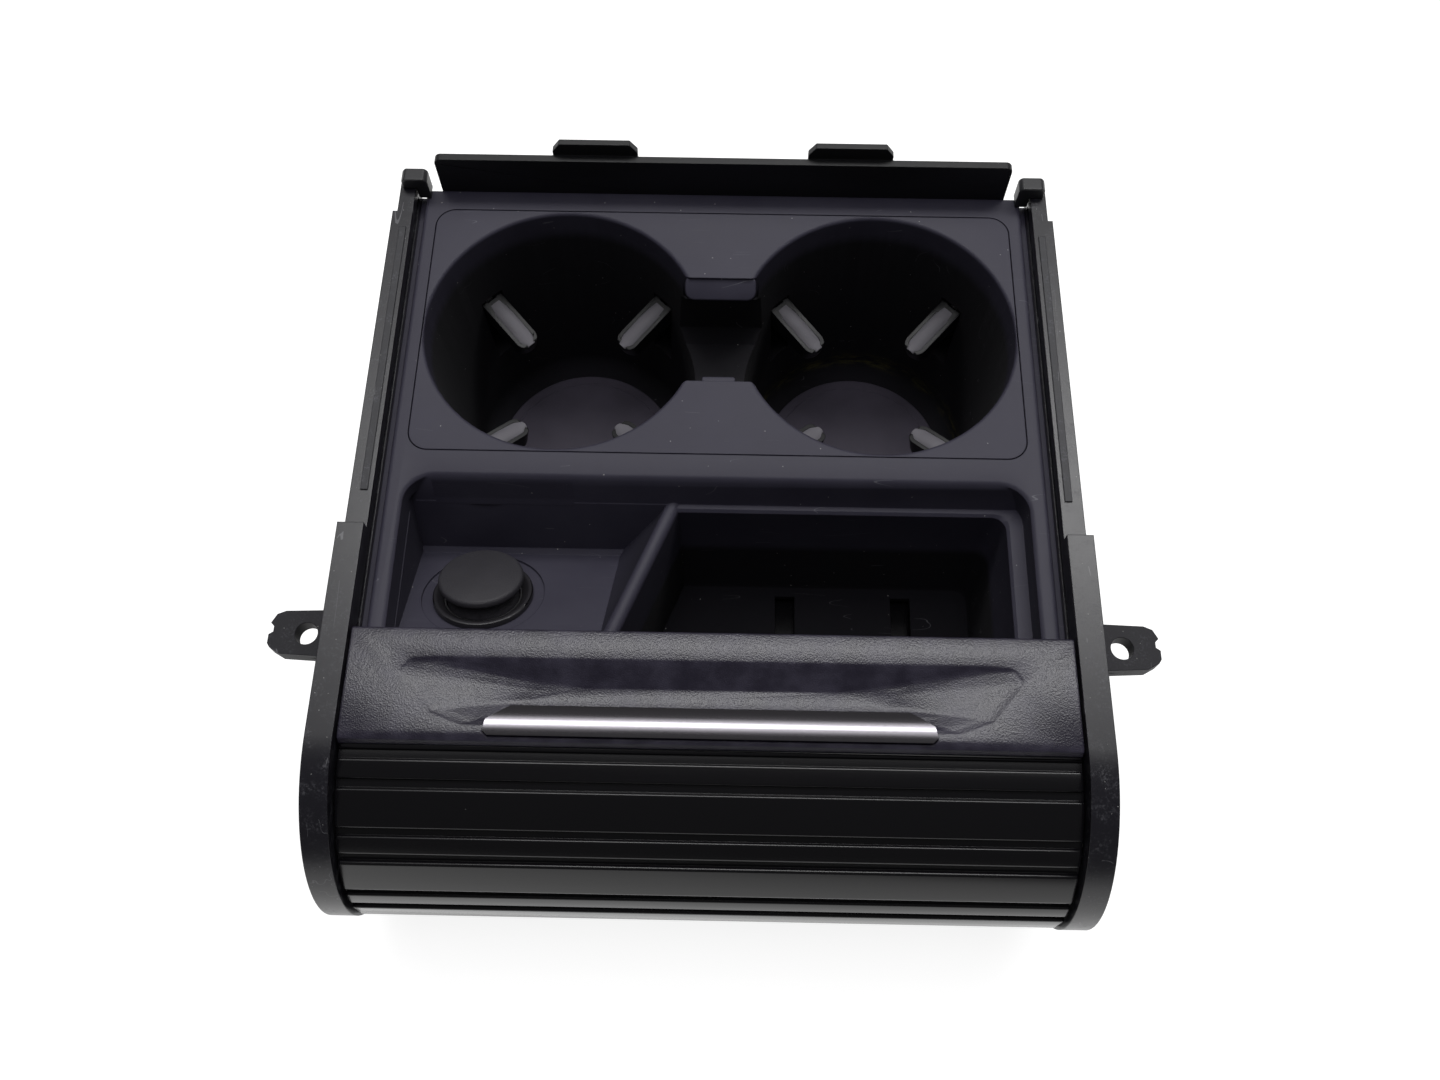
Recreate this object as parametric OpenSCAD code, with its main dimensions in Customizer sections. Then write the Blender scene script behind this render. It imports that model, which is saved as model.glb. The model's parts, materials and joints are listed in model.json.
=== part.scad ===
// Car cup holder for a centre console: two cups with sprung grip fingers, a shelf with a power
// socket, a phone pocket, and a slatted shutter that comes out of a rounded nose in side tracks.
// X points right, Y to the back of the holder, Z up. The origin is midway between the holes of
// the two side ears, on their top face. Sizes are in millimetres.

/* [Cups] */
// Radius of a cup's mouth
cup_r = 40; // [38:0.5:41]
// Depth of a cup below the deck
cup_depth = 80; // [72:1:88]
// Distance between the axes of the two cups
cup_span = 92.2; // [90:0.2:93]
// How much a cup's radius narrows from mouth to floor
cup_taper = 3.4; // [1:0.1:4]
// Radius of the corner between a cup's wall and its floor
cup_corner_r = 6; // [3:0.5:8]
// Wall thickness of the cups
cup_wall = 2; // [1.6:0.1:2.4]
// Radius of the rounded edge at the mouths of cups and pockets
mouth_edge_r = 1.2; // [0.6:0.1:1.8]
// Width of the passage between the cups
channel_w = 35.3; // [28:0.5:40]
// Depth of the passage between the cups
channel_depth = 34; // [24:1:45]
// Height of the apron on the far side of the passage
apron_h = 11; // [8:0.5:14]
// Thickness of the rubber mats in the cups
mat_t = 1.4; // [1:0.1:2]

/* [Grip fingers] */
// Width of a grip finger
finger_w = 7.5; // [6.5:0.1:8.5]
// How far a finger's tip stands in from the cup's mouth
finger_reach = 19; // [15:0.5:21]
// How far a finger's pin lies out from the cup's mouth
finger_pin_out = 2; // [2:0.1:3]
// Depth of the finger pins below the deck
finger_pin_depth = 31.2; // [28:0.1:36]
// Angle of a resting finger below the horizontal
finger_droop = 16.4; // [12:0.1:20]
// Radius of the steel pins of the fingers
pin_r = 1; // [0.8:0.1:1.2]
// Width of the rubber pad let into a finger
pad_w = 4.8; // [4:0.1:5.4]

/* [Deck and pockets] */
// Thickness of the deck
deck_t = 2.4; // [2:0.1:3]
// Radius of the deck's rolled side edges
deck_edge_r = 1.6; // [0.8:0.1:1.8]
// Width of the cup insert beside the cups' mouths
insert_side = 0.7; // [0.6:0.1:1.2]
// Width of the cup insert before and behind the cups' mouths
insert_end = 1.3; // [1.1:0.1:2]
// Corner radius of the cup insert
window_r = 6; // [4:0.5:8]
// Width of the deck beside the cup insert
deck_side = 4.2; // [3.8:0.1:5]
// Length of the deck behind the cup insert
deck_end = 6.7; // [6:0.1:9]
// Length of the deck between the cup insert and the front pockets
bridge_l = 7.7; // [7:0.1:9]
// Length of the front pockets' mouth
mouth_l = 54; // [52:0.5:58]
// Width of the deck beside the front pockets
mouth_side = 5; // [4.6:0.1:7]
// Width of the level edge on the right of the phone pocket
ledge_w = 4.6; // [3:0.1:6]
// Depth of that edge and of the divider's top below the deck
ledge_depth = 9.5; // [8:0.5:12]
// Depth of the phone pocket below the deck
pocket_depth = 62; // [50:1:62]
// Wall thickness of the pockets
pocket_wall = 2.2; // [1.8:0.1:2.4]
// Thickness of the divider between shelf and phone pocket
divider_t = 4.3; // [3.5:0.1:5]
// Angle of the divider, seen from above
divider_angle = 22.2; // [18:0.2:26]
// Slope of the socket shelf
shelf_slope = 28; // [24:0.5:32]
// Width of the two slots in the phone pocket's floor
slot_w = 6.2; // [5:0.1:8]

/* [Shutter] */
// Gap between the phone pocket and the shutter's run below it
run_gap = 3; // [2:0.1:4]
// Thickness of the shutter's slats
slat_t = 2.8; // [2.4:0.1:3]
// Pitch of the pattern of one narrow and one wide rib
rib_pitch = 19.7; // [17:0.1:24]
// Width of a narrow rib
narrow_rib_w = 5.1; // [4:0.1:6]
// Width of a groove between ribs
rib_groove_w = 2.3; // [1.5:0.1:2.6]
// Play between the shutter's edge and a cheek
shutter_play = 0.6; // [0.4:0.1:0.8]
// Length of the lead panel
lead_l = 30.3; // [30:0.1:32]
// Thickness of the lead panel
lead_t = 5.4; // [5:0.1:6]
// Depth of the finger scoop in the lead panel
scoop_depth = 4; // [2.5:0.1:4.2]
// Length of the metal handle bar
handle_l = 113; // [100:1:120]

/* [Frame] */
// Gap between the deck and a side cheek
deck_gap = 2; // [1.8:0.1:2.4]
// Thickness of a side cheek
cheek_t = 7; // [6.6:0.1:8]
// Height of the front cap of a cheek above the deck
cap_h = 7.5; // [7:0.1:9]
// Height of the rear rail of a cheek above the deck
rail_h = 4.3; // [4:0.1:5]
// Height of the rear flange above the deck
flange_h = 14.3; // [12:0.1:18]
// Distance from a cheek's outer face to its ear's hole
ear_reach = 13.3; // [11:0.1:16]
// Radius of an ear's hole
ear_hole_r = 3.2; // [2.5:0.1:3.5]
// Thickness of an ear
ear_t = 5; // [4:0.1:6]

/* [Power socket] */
// Inner radius of the socket's barrel
socket_r = 10.4; // [10.2:0.1:10.6]
// Length of the socket's barrel
socket_l = 38; // [34:1:40]
// Outer radius of the socket's ring
ring_r = 14; // [13.5:0.1:15]
// Radius of the disc on the socket's cap
cap_r = 11.75; // [11:0.05:12.5]

/* [Hidden] */
$fn = 64;
// A small length by which cuts pass through faces
past = 1;
// Play between pieces that lie beside each other
play = 0.3;

// The ears' top face is the zero plane, and the deck lies above it
deck_z = 20;
seat_z = deck_z - deck_t;

// From the front: the pockets' mouth, the cup insert's window, and the deck's rear edge
mouth_front_y = -14;
mouth_rear_y = mouth_front_y + mouth_l;
window_w = cup_span + 2 * (cup_r + insert_side);
window_l = 2 * (cup_r + insert_end);
cups_y = mouth_rear_y + bridge_l + window_l / 2;
deck_front_y = mouth_front_y - 4;
deck_rear_y = cups_y + window_l / 2 + deck_end;
deck_l = deck_rear_y - deck_front_y;
deck_mid_y = (deck_rear_y + deck_front_y) / 2;
deck_w = window_w + 2 * deck_side;
skirt_t = 2;
skirt_bottom_z = deck_z - 19;
cup_floor_z = deck_z - cup_depth;
cup_bottom_t = 2.5;
rest_z = cup_floor_z - cup_bottom_t;

// The pockets
mouth_w = deck_w - 2 * mouth_side;
mouth_corner_r = 8;
ledge_z = deck_z - ledge_depth;
pocket_floor_z = deck_z - pocket_depth;
pocket_side_x = mouth_w / 2 - ledge_w;
pocket_corner_r = 4;
// Where the shelf meets the leaning rear wall
shelf_rear_y = mouth_rear_y - 10;
shelf_rear_z = deck_z - 29;
// The divider's centre line passes this point at the rear wall, and its flank spreads towards the shelf
shelf_w = 75.3;
divider_x = shelf_w - mouth_w / 2;
divider_spread = 9.9;
// The two slots in the phone pocket's floor
slot_l = 29.5;
slot_pitch = 36.5;
first_slot_x = pocket_side_x - 23.1;

// The shutter's path: level run, half turn about the nose, lower run below the phone pocket
slat_top_z = deck_z + 4;
run_bottom_z = pocket_floor_z - pocket_wall - run_gap - slat_t;
nose_r = (slat_top_z - run_bottom_z) / 2;
nose_y = -36;
nose_z = slat_top_z - nose_r;
tongue_t = 2;
tongue_drop = 3.3;
tongue_out_r = nose_r - tongue_drop;
tongue_in_r = tongue_out_r - tongue_t;
tongue_play = 0.4;
tongue_x = deck_w / 2 + tongue_play;
track_play = 0.2;
track_depth = 2.8;
curtain_l = 192;
lower_run_l = curtain_l - PI * nose_r;

// The cheeks' outline
cheek_in_x = deck_w / 2 + deck_gap;
cheek_out_x = cheek_in_x + cheek_t;
shutter_w = 2 * (cheek_in_x - shutter_play);
cap_z = deck_z + cap_h;
rail_z = deck_z + rail_h;
cap_end_y = 22;
cheek_rear_y = deck_rear_y;
cheek_bottom_z = nose_z - nose_r + 0.5;
cheek_low_end_y = mouth_rear_y + 7;
rail_bottom_z = deck_z - 32;
nose_cap_r = (cap_z - cheek_bottom_z) / 2;
web_x = cheek_in_x + track_depth + 1.6;
cheek_rib_ys = [-14, 12, mouth_rear_y - 4, cups_y - 25, cups_y + 3, deck_rear_y - 27];
cheek_rib_t = 1.6;
ear_x = cheek_out_x + ear_reach;

// The screws that join the cheeks to the tray, from a tip beside the pockets to the cheek's web
screw_ys = [24, cups_y - 17, deck_rear_y - 17];
screw_z = 6;
screw_r = 1.5;
screw_head_r = 3;
screw_head_h = 1.2;
screw_play = 0.05;
boss_r = 4;
screw_tip_x = mouth_w / 2 + pocket_wall + 0.4;
screw_seat_x = web_x + 0.4;

// The lower cover and its screws
cover_t = 2;
cover_top_z = nose_z - nose_r - 1;
cover_front_y = nose_y + 6;
cover_rear_y = cheek_low_end_y - 2;
cover_screw_ys = [-20, 12, mouth_rear_y];
cover_screw_x = cheek_in_x + 4.4;
cover_screw_r = 1.3;
cover_screw_l = 9;
cover_half_w = cheek_out_x - 0.4;
foot_t = 3;
foot_bottom_z = min(rest_z, cover_top_z - cover_t - 1);

finger_count = 8;
finger_pin_r = cup_r + finger_pin_out;
finger_tip_r = cup_r - finger_reach;
finger_pin_z = deck_z - finger_pin_depth;
finger_boss_r = 4.2;
finger_under = 3.4;
finger_l = (finger_pin_r - finger_tip_r) / cos(finger_droop);
finger_slot_w = finger_w + 0.8;
finger_house_wall = 1.6;
finger_house_r = finger_pin_r + 4.6;
spring_gap_w = 3.4;

// Returns the unit vector to the left of the line from p to q.
function left_of(p, q) = let (d = q - p) [-d[1], d[0]] / norm(d);

// Returns the point where the line through p along u meets the line through q along v.
function meeting(p, u, q, v) = let (w = q - p)
    p + u * (w[0] * v[1] - w[1] * v[0]) / (u[0] * v[1] - u[1] * v[0]);

// Returns a convex outline with each edge moved inwards by its own distance.
function inset(corners, distances) = let (n = len(corners)) [
    for (i = [0 : n - 1])
        let (h = (i + n - 1) % n, a = corners[h], b = corners[i], c = corners[(i + 1) % n])
        meeting(b + left_of(a, b) * distances[h], b - a, b + left_of(b, c) * distances[i], c - b)
];

// Returns a convex outline with its corners rounded to arcs of radius r.
function rounded(corners, r, steps = 6) = let (n = len(corners)) [
    for (i = [0 : n - 1])
        let (
            b = corners[i],
            u = (corners[(i + n - 1) % n] - b) / norm(corners[(i + n - 1) % n] - b),
            v = (corners[(i + 1) % n] - b) / norm(corners[(i + 1) % n] - b),
            half = acos(u * v) / 2,
            centre = b + (u + v) / norm(u + v) * r / sin(half),
            from_centre = b + u * r / tan(half) - centre,
            start = atan2(from_centre[1], from_centre[0])
        )
        for (k = [0 : steps])
            let (a = start + (180 - 2 * half) * k / steps) centre + r * [cos(a), sin(a)]
];

// A closed solid through rings of points, from the lowest ring to the highest.
module loft(rings) {
    n = len(rings[0]);
    last = (len(rings) - 1) * n;
    polyhedron(
        points = [for (ring = rings) each ring],
        faces = [
            [for (i = [0 : n - 1]) i],
            [for (i = [n - 1 : -1 : 0]) last + i],
            for (k = [0 : len(rings) - 2]) for (i = [0 : n - 1])
                let (a = k * n + i, b = k * n + (i + 1) % n)
                each [[a, a + n, b + n], [a, b + n, b]]
        ]
    );
}

// A rectangle with round corners, centred on the origin.
module round_rect(size, r) {
    square([size[0] - 2 * r, size[1]], center = true);
    square([size[0], size[1] - 2 * r], center = true);
    for (x = [-1, 1], y = [-1, 1])
        translate([x * (size[0] / 2 - r), y * (size[1] / 2 - r)]) circle(r);
}

// Extrudes a profile drawn in (Y, Z) along X, from x0 to x1.
module along_x(x0, x1) {
    translate([x0, 0, 0]) rotate([90, 0, 90]) linear_extrude(x1 - x0) children();
}

// Places a part on the left or the right side, from its form on the right.
module on_side(side) {
    mirror([side < 0 ? 1 : 0, 0, 0]) children();
}

// The socket's frame: its axis stands square on the sloping shelf.
socket_x = 20.9 - mouth_w / 2;
socket_y = shelf_rear_y - 17.4;
socket_z = shelf_rear_z + (shelf_rear_y - socket_y) * tan(shelf_slope);
module at_socket() {
    translate([socket_x, socket_y, socket_z]) rotate([-shelf_slope, 0, 0]) children();
}

// The socket's ring, the dish it lies in, and the collar under the shelf
ring_tube_r = socket_r + 1.7;
ring_tube_l = 11;
dish_depth = 0.8;
collar_t = 1.4;
nut_t = 4;
barrel_drop = 0.6;
// Width of the ledge on which the cup insert lies
insert_seat_w = 4;

// Returns the shelf's height at a distance y from the ears.
function shelf_z(y) = shelf_rear_z + (shelf_rear_y - y) * tan(shelf_slope);

// Returns the x of the divider's centre line at y.
function divider_at(y) = divider_x + (y - mouth_rear_y) * tan(divider_angle);

// Returns where the leaning rear wall of the pockets stands at height z.
function rear_at(z) = shelf_rear_y
    + (z - shelf_rear_z) * (mouth_rear_y - shelf_rear_y) / (deck_z - shelf_rear_z);

// Fills the pockets' mouth, seen from above, widened by g all round, from z0 to z1.
module mouth_column(g, z0, z1) {
    l = mouth_rear_y - mouth_front_y;
    translate([0, mouth_front_y + l / 2, z0]) linear_extrude(z1 - z0)
        round_rect([mouth_w + 2 * g, l + 2 * g], mouth_corner_r + g);
}

// The space above the ledge, with a leaning rear wall.
module mouth_space() {
    top = deck_z + past;
    intersection() {
        mouth_column(0, ledge_z, top);
        along_x(-mouth_w, mouth_w) polygon([
            [mouth_front_y - 9, ledge_z], [rear_at(ledge_z), ledge_z], [rear_at(top), top],
            [mouth_front_y - 9, top]
        ]);
    }
}

// The rounded edge of the mouth: one ring of the cutter, flared beyond the mouth.
function edge_ring(z, flare) =
    let (
        w = mouth_w / 2,
        box = [[-w, mouth_front_y], [w, mouth_front_y], [w, mouth_rear_y], [-w, mouth_rear_y]]
    )
    [for (p = rounded(inset(box, [-flare, -flare, -flare, -flare]), mouth_corner_r + flare)) [p[0], p[1], z]];

module mouth_edge() {
    e = mouth_edge_r;
    loft([
        edge_ring(deck_z - 2 * e, -1.2 * e), edge_ring(deck_z - 0.6 * e, 0.16 * e),
        edge_ring(deck_z - 0.2 * e, 0.5 * e), edge_ring(deck_z, e), edge_ring(deck_z + past, e + past)
    ]);
}

// The plan of everything on the left of the divider's centre line, shifted right by d.
module left_plan(d) {
    far_y = mouth_rear_y + 20;
    near_y = mouth_front_y - 20;
    polygon([
        [-mouth_w, near_y], [divider_at(near_y) + d, near_y], [divider_at(far_y) + d, far_y],
        [-mouth_w, far_y]
    ]);
}

// The shelf's space on the left of the divider, down to the sloping shelf.
module shelf_space() {
    corner = 1.5;
    // its walls stand a hair inside the mouth's, so that no two faces coincide
    hair = 0.2;
    top = ledge_z + 4;
    front = mouth_front_y + hair;
    intersection() {
        along_x(hair - mouth_w / 2, 40) polygon([
            [front, shelf_z(front)], [shelf_rear_y - corner, shelf_z(shelf_rear_y - corner)],
            [rear_at(shelf_rear_z + corner) - hair, shelf_rear_z + corner],
            [rear_at(top) - hair, top], [front, top]
        ]);
        translate([0, 0, -60]) linear_extrude(120) left_plan(1);
    }
}

// One level of the phone pocket's space on the right of the divider.
function pocket_ring(z, tuck, grow) =
    let (
        draft = (ledge_z - z) * 0.03,
        rear = rear_at(ledge_z) - 2.1,
        near = mouth_front_y + 2,
        box = [
            [divider_at(near) - 1, near], [pocket_side_x, near], [pocket_side_x, rear],
            [divider_at(rear) - 1, rear]
        ],
        edges = [for (d = [0, draft, draft, 0]) d + tuck - grow]
    )
    [for (p = rounded(inset(box, edges), pocket_corner_r + grow)) [p[0], p[1], z]];

module pocket_space() {
    corner = 2.5;
    edge = 0.8;
    loft([
        pocket_ring(pocket_floor_z, corner, 0),
        pocket_ring(pocket_floor_z + corner * 0.3, corner * 0.3, 0),
        pocket_ring(pocket_floor_z + corner, 0, 0),
        pocket_ring(ledge_z - edge, 0, 0),
        pocket_ring(ledge_z + past, -edge - past, 0)
    ]);
}

// The divider: a wall with a round top that stands square to its own run.
module divider() {
    start_y = mouth_front_y - 8;
    run_l = (mouth_rear_y + 4 - start_y) / cos(divider_angle);
    bottom = pocket_floor_z - pocket_wall;
    top = ledge_z + 0.6 - divider_t / 2;
    translate([divider_at(start_y), start_y, 0])
        rotate([90, 0, 180 - divider_angle]) linear_extrude(run_l) {
            translate([0, top]) circle(divider_t / 2);
            polygon([
                [-divider_t / 2, top], [-divider_t / 2 - 1.2, bottom],
                [divider_t / 2 + divider_spread, bottom], [divider_t / 2 + divider_spread, shelf_rear_z],
                [divider_t / 2, top]
            ]);
        }
}

// The outer shells of the pockets, one wall outside their spaces.
module pocket_shells() {
    bottom = pocket_floor_z - pocket_wall;
    side = mouth_w / 2 + pocket_wall;
    front = mouth_front_y - pocket_wall;
    under = pocket_wall / cos(shelf_slope);
    behind = pocket_wall * 1.06;
    // the shelf's shell stays a hair inside the mouth's, so that no two faces coincide
    hair = 0.2;
    along_x(-side, side) polygon([
        [front, ledge_z - pocket_wall], [rear_at(ledge_z - pocket_wall) + behind, ledge_z - pocket_wall],
        [rear_at(deck_z - past) + behind, deck_z - past], [front, deck_z - past]
    ]);
    intersection() {
        along_x(hair - side, 40) polygon([
            [front + hair, shelf_z(front) - under], [shelf_rear_y + 1, shelf_z(shelf_rear_y + 1) - under],
            [rear_at(shelf_rear_z) + behind - hair, shelf_rear_z],
            [rear_at(deck_z - 1.5 * past) + behind - hair, deck_z - 1.5 * past],
            [front + hair, deck_z - 1.5 * past]
        ]);
        translate([0, 0, -60]) linear_extrude(120) left_plan(6);
    }
    loft([
        pocket_ring(bottom, 1.5, pocket_wall), pocket_ring(bottom + 2.5, 0, pocket_wall),
        pocket_ring(ledge_z - 0.5, 0, pocket_wall)
    ]);
}

module pockets() {
    mouth_edge();
    difference() {
        union() {
            mouth_space();
            shelf_space();
            pocket_space();
        }
        divider();
    }
}

// The deck: a flat plate whose long side edges roll down.
module deck() {
    roll_h = 4 * deck_edge_r;
    intersection() {
        translate([0, deck_mid_y, seat_z]) linear_extrude(deck_t) round_rect([deck_w, deck_l], 2);
        translate([0, deck_rear_y + past, deck_z - roll_h / 2]) rotate([90, 0, 0])
            linear_extrude(deck_l + 2 * past) round_rect([deck_w, roll_h], deck_edge_r);
    }
}

module tray() {
    skirt_top_z = seat_z + 0.2;
    shelf_t = 2.5;
    shelf_top_z = seat_z + 0.1;
    lip_z = seat_z - 2.8;
    lip_t = 1.6;
    collar_r = ring_r + 4;
    color([0.16, 0.15, 0.17]) difference() {
        union() {
            deck();
            // the ledge that carries the cup insert
            translate([0, cups_y, shelf_top_z - shelf_t]) linear_extrude(shelf_t)
                round_rect([deck_w - 2, window_l + 8], 3);
            // skirts along the sides and the rear
            for (side = [-1, 1]) on_side(side) {
                translate([deck_w / 2 - skirt_t, deck_front_y, skirt_bottom_z])
                    cube([skirt_t, deck_l, skirt_top_z - skirt_bottom_z]);
                // the lip that closes the gap to the cheek
                translate([deck_w / 2 - skirt_t, deck_front_y, lip_z])
                    cube([deck_gap + skirt_t, deck_l, lip_t]);
                for (y = screw_ys) translate([screw_tip_x, y, screw_z])
                    rotate([0, 90, 0]) cylinder(r = boss_r, h = cheek_in_x - screw_tip_x);
            }
            translate([-deck_w / 2, deck_rear_y - skirt_t, skirt_bottom_z])
                cube([deck_w, skirt_t, skirt_top_z - skirt_bottom_z]);
            pocket_shells();
            // collar under the shelf for the socket
            at_socket() translate([0, 0, -pocket_wall - collar_t]) cylinder(r = collar_r, h = 2);
        }
        pockets();
        // window for the cup insert, and room for its cups through the ledge
        translate([0, cups_y, seat_z]) linear_extrude(deck_t + past) round_rect([window_w, window_l], window_r);
        translate([0, cups_y, seat_z - 4]) linear_extrude(5)
            round_rect([window_w - 2 * insert_seat_w, window_l - 2 * insert_seat_w], 3);
        for (side = [-1, 1]) translate([side * cup_span / 2, cups_y, seat_z - 5])
            cylinder(r = cup_r + cup_wall + play, h = 5);
        // dish and hole for the socket
        at_socket() {
            translate([0, 0, -dish_depth]) cylinder(r = ring_r + 3.2, h = 30);
            translate([0, 0, -12]) cylinder(r = ring_tube_r + 0.2, h = 24);
        }
        // slots in the phone pocket's floor
        for (k = [0, 1])
            translate([first_slot_x - k * slot_pitch - slot_w / 2, 0, pocket_floor_z - pocket_wall - past])
            cube([slot_w, slot_l, pocket_wall + 2 * past]);
        for (side = [-1, 1], y = screw_ys) on_side(side) translate([screw_tip_x - 0.2, y, screw_z])
            rotate([0, 90, 0]) cylinder(r = screw_r + screw_play, h = cheek_t + deck_gap + mouth_side + past);
    }
}

// Returns a cup's inner radius at a height z.
function cup_r_at(z) = cup_r - cup_taper * (deck_z - z) / cup_depth;

// The space inside one cup, as a profile turned about its axis.
module cup_space() {
    floor_r = cup_r - cup_taper;
    edge = mouth_edge_r;
    rotate_extrude($fn = 96) polygon([
        [0, cup_floor_z],
        for (a = [0 : 15 : 90])
            [floor_r - cup_corner_r + cup_corner_r * sin(a), cup_floor_z + cup_corner_r * (1 - cos(a))],
        for (a = [0 : 22.5 : 90]) [cup_r + edge * (1 - cos(a)), deck_z - edge * (1 - sin(a))],
        [cup_r + edge, deck_z + past],
        [0, deck_z + past]
    ]);
}

module cup_shell() {
    floor_r = cup_r - cup_taper;
    rotate_extrude($fn = 96) polygon([
        [0, rest_z],
        [floor_r - cup_corner_r, rest_z],
        [floor_r - 1, rest_z + 2.2],
        [floor_r + cup_wall, rest_z + cup_corner_r + 1.5],
        [cup_r + cup_wall, deck_z - deck_t],
        [0, deck_z - deck_t]
    ]);
}

// Places a child at finger i of 8: X runs from the cup's axis to the finger's pin.
function finger_side(i) = i < finger_count / 2 ? -1 : 1;
module at_finger(i) {
    translate([finger_side(i) * cup_span / 2, cups_y, 0]) rotate([0, 0, 45 + 90 * i]) children();
}

// Places a child in a finger's own frame: origin at the pin, X along the finger to its tip.
module along_finger(i) {
    at_finger(i) translate([finger_pin_r, 0, finger_pin_z]) rotate([0, 0, 180])
        rotate([0, finger_droop, 0]) children();
}

// A pin's cylinder across a finger.
module across(r, l) {
    rotate([90, 0, 0]) cylinder(r = r, h = l, center = true);
}

house_top_z = finger_pin_z + finger_boss_r + 0.8;
house_bottom_z = finger_pin_z - finger_l - 2.2;
house_w = finger_slot_w + 2 * finger_house_wall;

module cup_insert() {
    half_w = channel_w / 2;
    channel_z = deck_z - channel_depth;
    // fillet between a cup's mouth and the passage, which crosses both walls at a flat angle
    fillet_r = 3.5;
    crossing = 0.15;
    fillet_y = half_w + fillet_r;
    fillet_x = cup_span / 2 - sqrt(pow(cup_r + fillet_r, 2) - pow(fillet_y, 2));
    toward_cup = [cup_span / 2 - fillet_x, -fillet_y] / (cup_r + fillet_r);
    touch = [fillet_x, fillet_y] + fillet_r * toward_cup;
    corner_x = cup_span / 2 - sqrt(pow(cup_r, 2) - pow(half_w, 2));
    shell_l = 30;
    shell_reach = 5;
    mat_seat = 0.4;
    lip_w = 14;
    color([0.17, 0.16, 0.18]) difference() {
        union() {
            translate([0, cups_y, seat_z]) linear_extrude(deck_t)
                round_rect([window_w - 2 * play, window_l - 2 * play], window_r - play);
            for (side = [-1, 1]) translate([side * cup_span / 2, cups_y, 0]) cup_shell();
            // outer shell of the passage
            translate([-shell_l / 2, cups_y - half_w - 6, channel_z - cup_wall])
                cube([shell_l, channel_w + 12, seat_z - channel_z + cup_wall]);
            // housings of the fingers
            for (i = [0 : finger_count - 1]) at_finger(i)
                translate([cup_r - shell_reach, -house_w / 2, house_bottom_z - finger_house_wall])
                cube([finger_house_r + finger_house_wall - cup_r + shell_reach, house_w,
                    house_top_z - house_bottom_z + 2 * finger_house_wall]);
        }
        for (side = [-1, 1]) translate([side * cup_span / 2, cups_y, 0]) cup_space();
        // the passage, with an apron on its far side and a step on its near side
        translate([0, cups_y, 0]) along_x(-24, 24) polygon([
            [-half_w, deck_z + past], [-half_w, deck_z - 6], [-half_w - 2.5, deck_z - 9],
            [-half_w - 2.5, channel_z + 4], [-half_w + 1.5, channel_z],
            [half_w - 1.5, channel_z], [half_w + 2.5, channel_z + 4],
            [half_w + 2.5, deck_z - apron_h - 2.5], [half_w, deck_z - apron_h], [half_w, deck_z + past]
        ]);
        // round corners between the passage and the cups
        for (x = [-1, 1], y = [-1, 1]) translate([0, cups_y, deck_z - apron_h])
            mirror([x < 0 ? 1 : 0, 0, 0]) mirror([0, y < 0 ? 1 : 0, 0])
            linear_extrude(apron_h + past) difference() {
                polygon([
                    [fillet_x, half_w - 0.5], [corner_x + 0.6, half_w - 0.5],
                    touch + [0.3, 0], [fillet_x, fillet_y]
                ]);
                translate([fillet_x, fillet_y]) circle(fillet_r + crossing);
            }
        // slots and pin holes of the fingers
        for (i = [0 : finger_count - 1]) at_finger(i) {
            translate([cup_r - 8, -finger_slot_w / 2, house_bottom_z])
                cube([finger_house_r - cup_r + 8, finger_slot_w, house_top_z - house_bottom_z]);
            translate([finger_pin_r, 0, finger_pin_z]) across(pin_r + 0.03, house_w + 2);
        }
        // seats of the mats
        for (side = [-1, 1]) translate([side * cup_span / 2, cups_y, cup_floor_z - mat_seat])
            cylinder(r = cup_r - cup_taper - cup_corner_r, h = 1, $fn = 96);
    }
    // small lip on the near side of the passage
    color([0.17, 0.16, 0.18]) translate([-lip_w / 2, cups_y - half_w - 1, deck_z - 5.6])
        cube([lip_w, 2.6, 1.4]);
}

module cup_mat(side) {
    mat_r = cup_r - cup_taper - cup_corner_r - 0.2;
    bead_h = 0.3;
    bead_w = 3;
    color([0.12, 0.12, 0.13]) translate([side * cup_span / 2, cups_y, cup_floor_z - 0.4])
        rotate_extrude($fn = 96) polygon([
            [0, 0], [mat_r, 0], [mat_r, mat_t - bead_h], [mat_r - bead_h, mat_t],
            [mat_r - bead_w, mat_t], [mat_r - bead_w - 0.4, mat_t - bead_h], [0, mat_t - bead_h]
        ]);
}

// The plan of a finger from its pin to its round tip, narrowed by d all round.
module finger_plan(w, d) {
    translate([-finger_boss_r, -w / 2 + d]) square([finger_l + finger_boss_r - w / 2, w - 2 * d]);
    translate([finger_l - w / 2, 0]) circle(w / 2 - d);
}

module grip_finger(i) {
    tip_t = 5.6;
    color([0.13, 0.13, 0.14]) along_finger(i) difference() {
        intersection() {
            translate([0, 0, -20]) linear_extrude(40) finger_plan(finger_w, 0);
            rotate([90, 0, 0]) linear_extrude(finger_w + 2, center = true) union() {
                circle(finger_boss_r - 0.1);
                polygon([
                    [0, -finger_under], [3, -finger_under + 0.6], [finger_l - 1.5, finger_boss_r - tip_t],
                    [finger_l, finger_boss_r - tip_t + 1.5], [finger_l, finger_boss_r - 1.2],
                    [finger_l - 1.2, finger_boss_r], [0.4, finger_boss_r], [-1, finger_boss_r - 0.7], [-1, 0]
                ]);
            }
        }
        across(pin_r + 0.05, finger_w + 2);
        // room for the spring between the two lugs
        rotate([90, 0, 0]) cylinder(r = finger_boss_r + 0.4, h = spring_gap_w, center = true);
        // seat of the rubber pad
        translate([pad_start, 0, finger_boss_r - pad_depth]) linear_extrude(2) pad_plan(0);
    }
}

// Where a rubber pad starts along its finger, and how deep it is let in
pad_start = 6;
pad_depth = 0.8;

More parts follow.
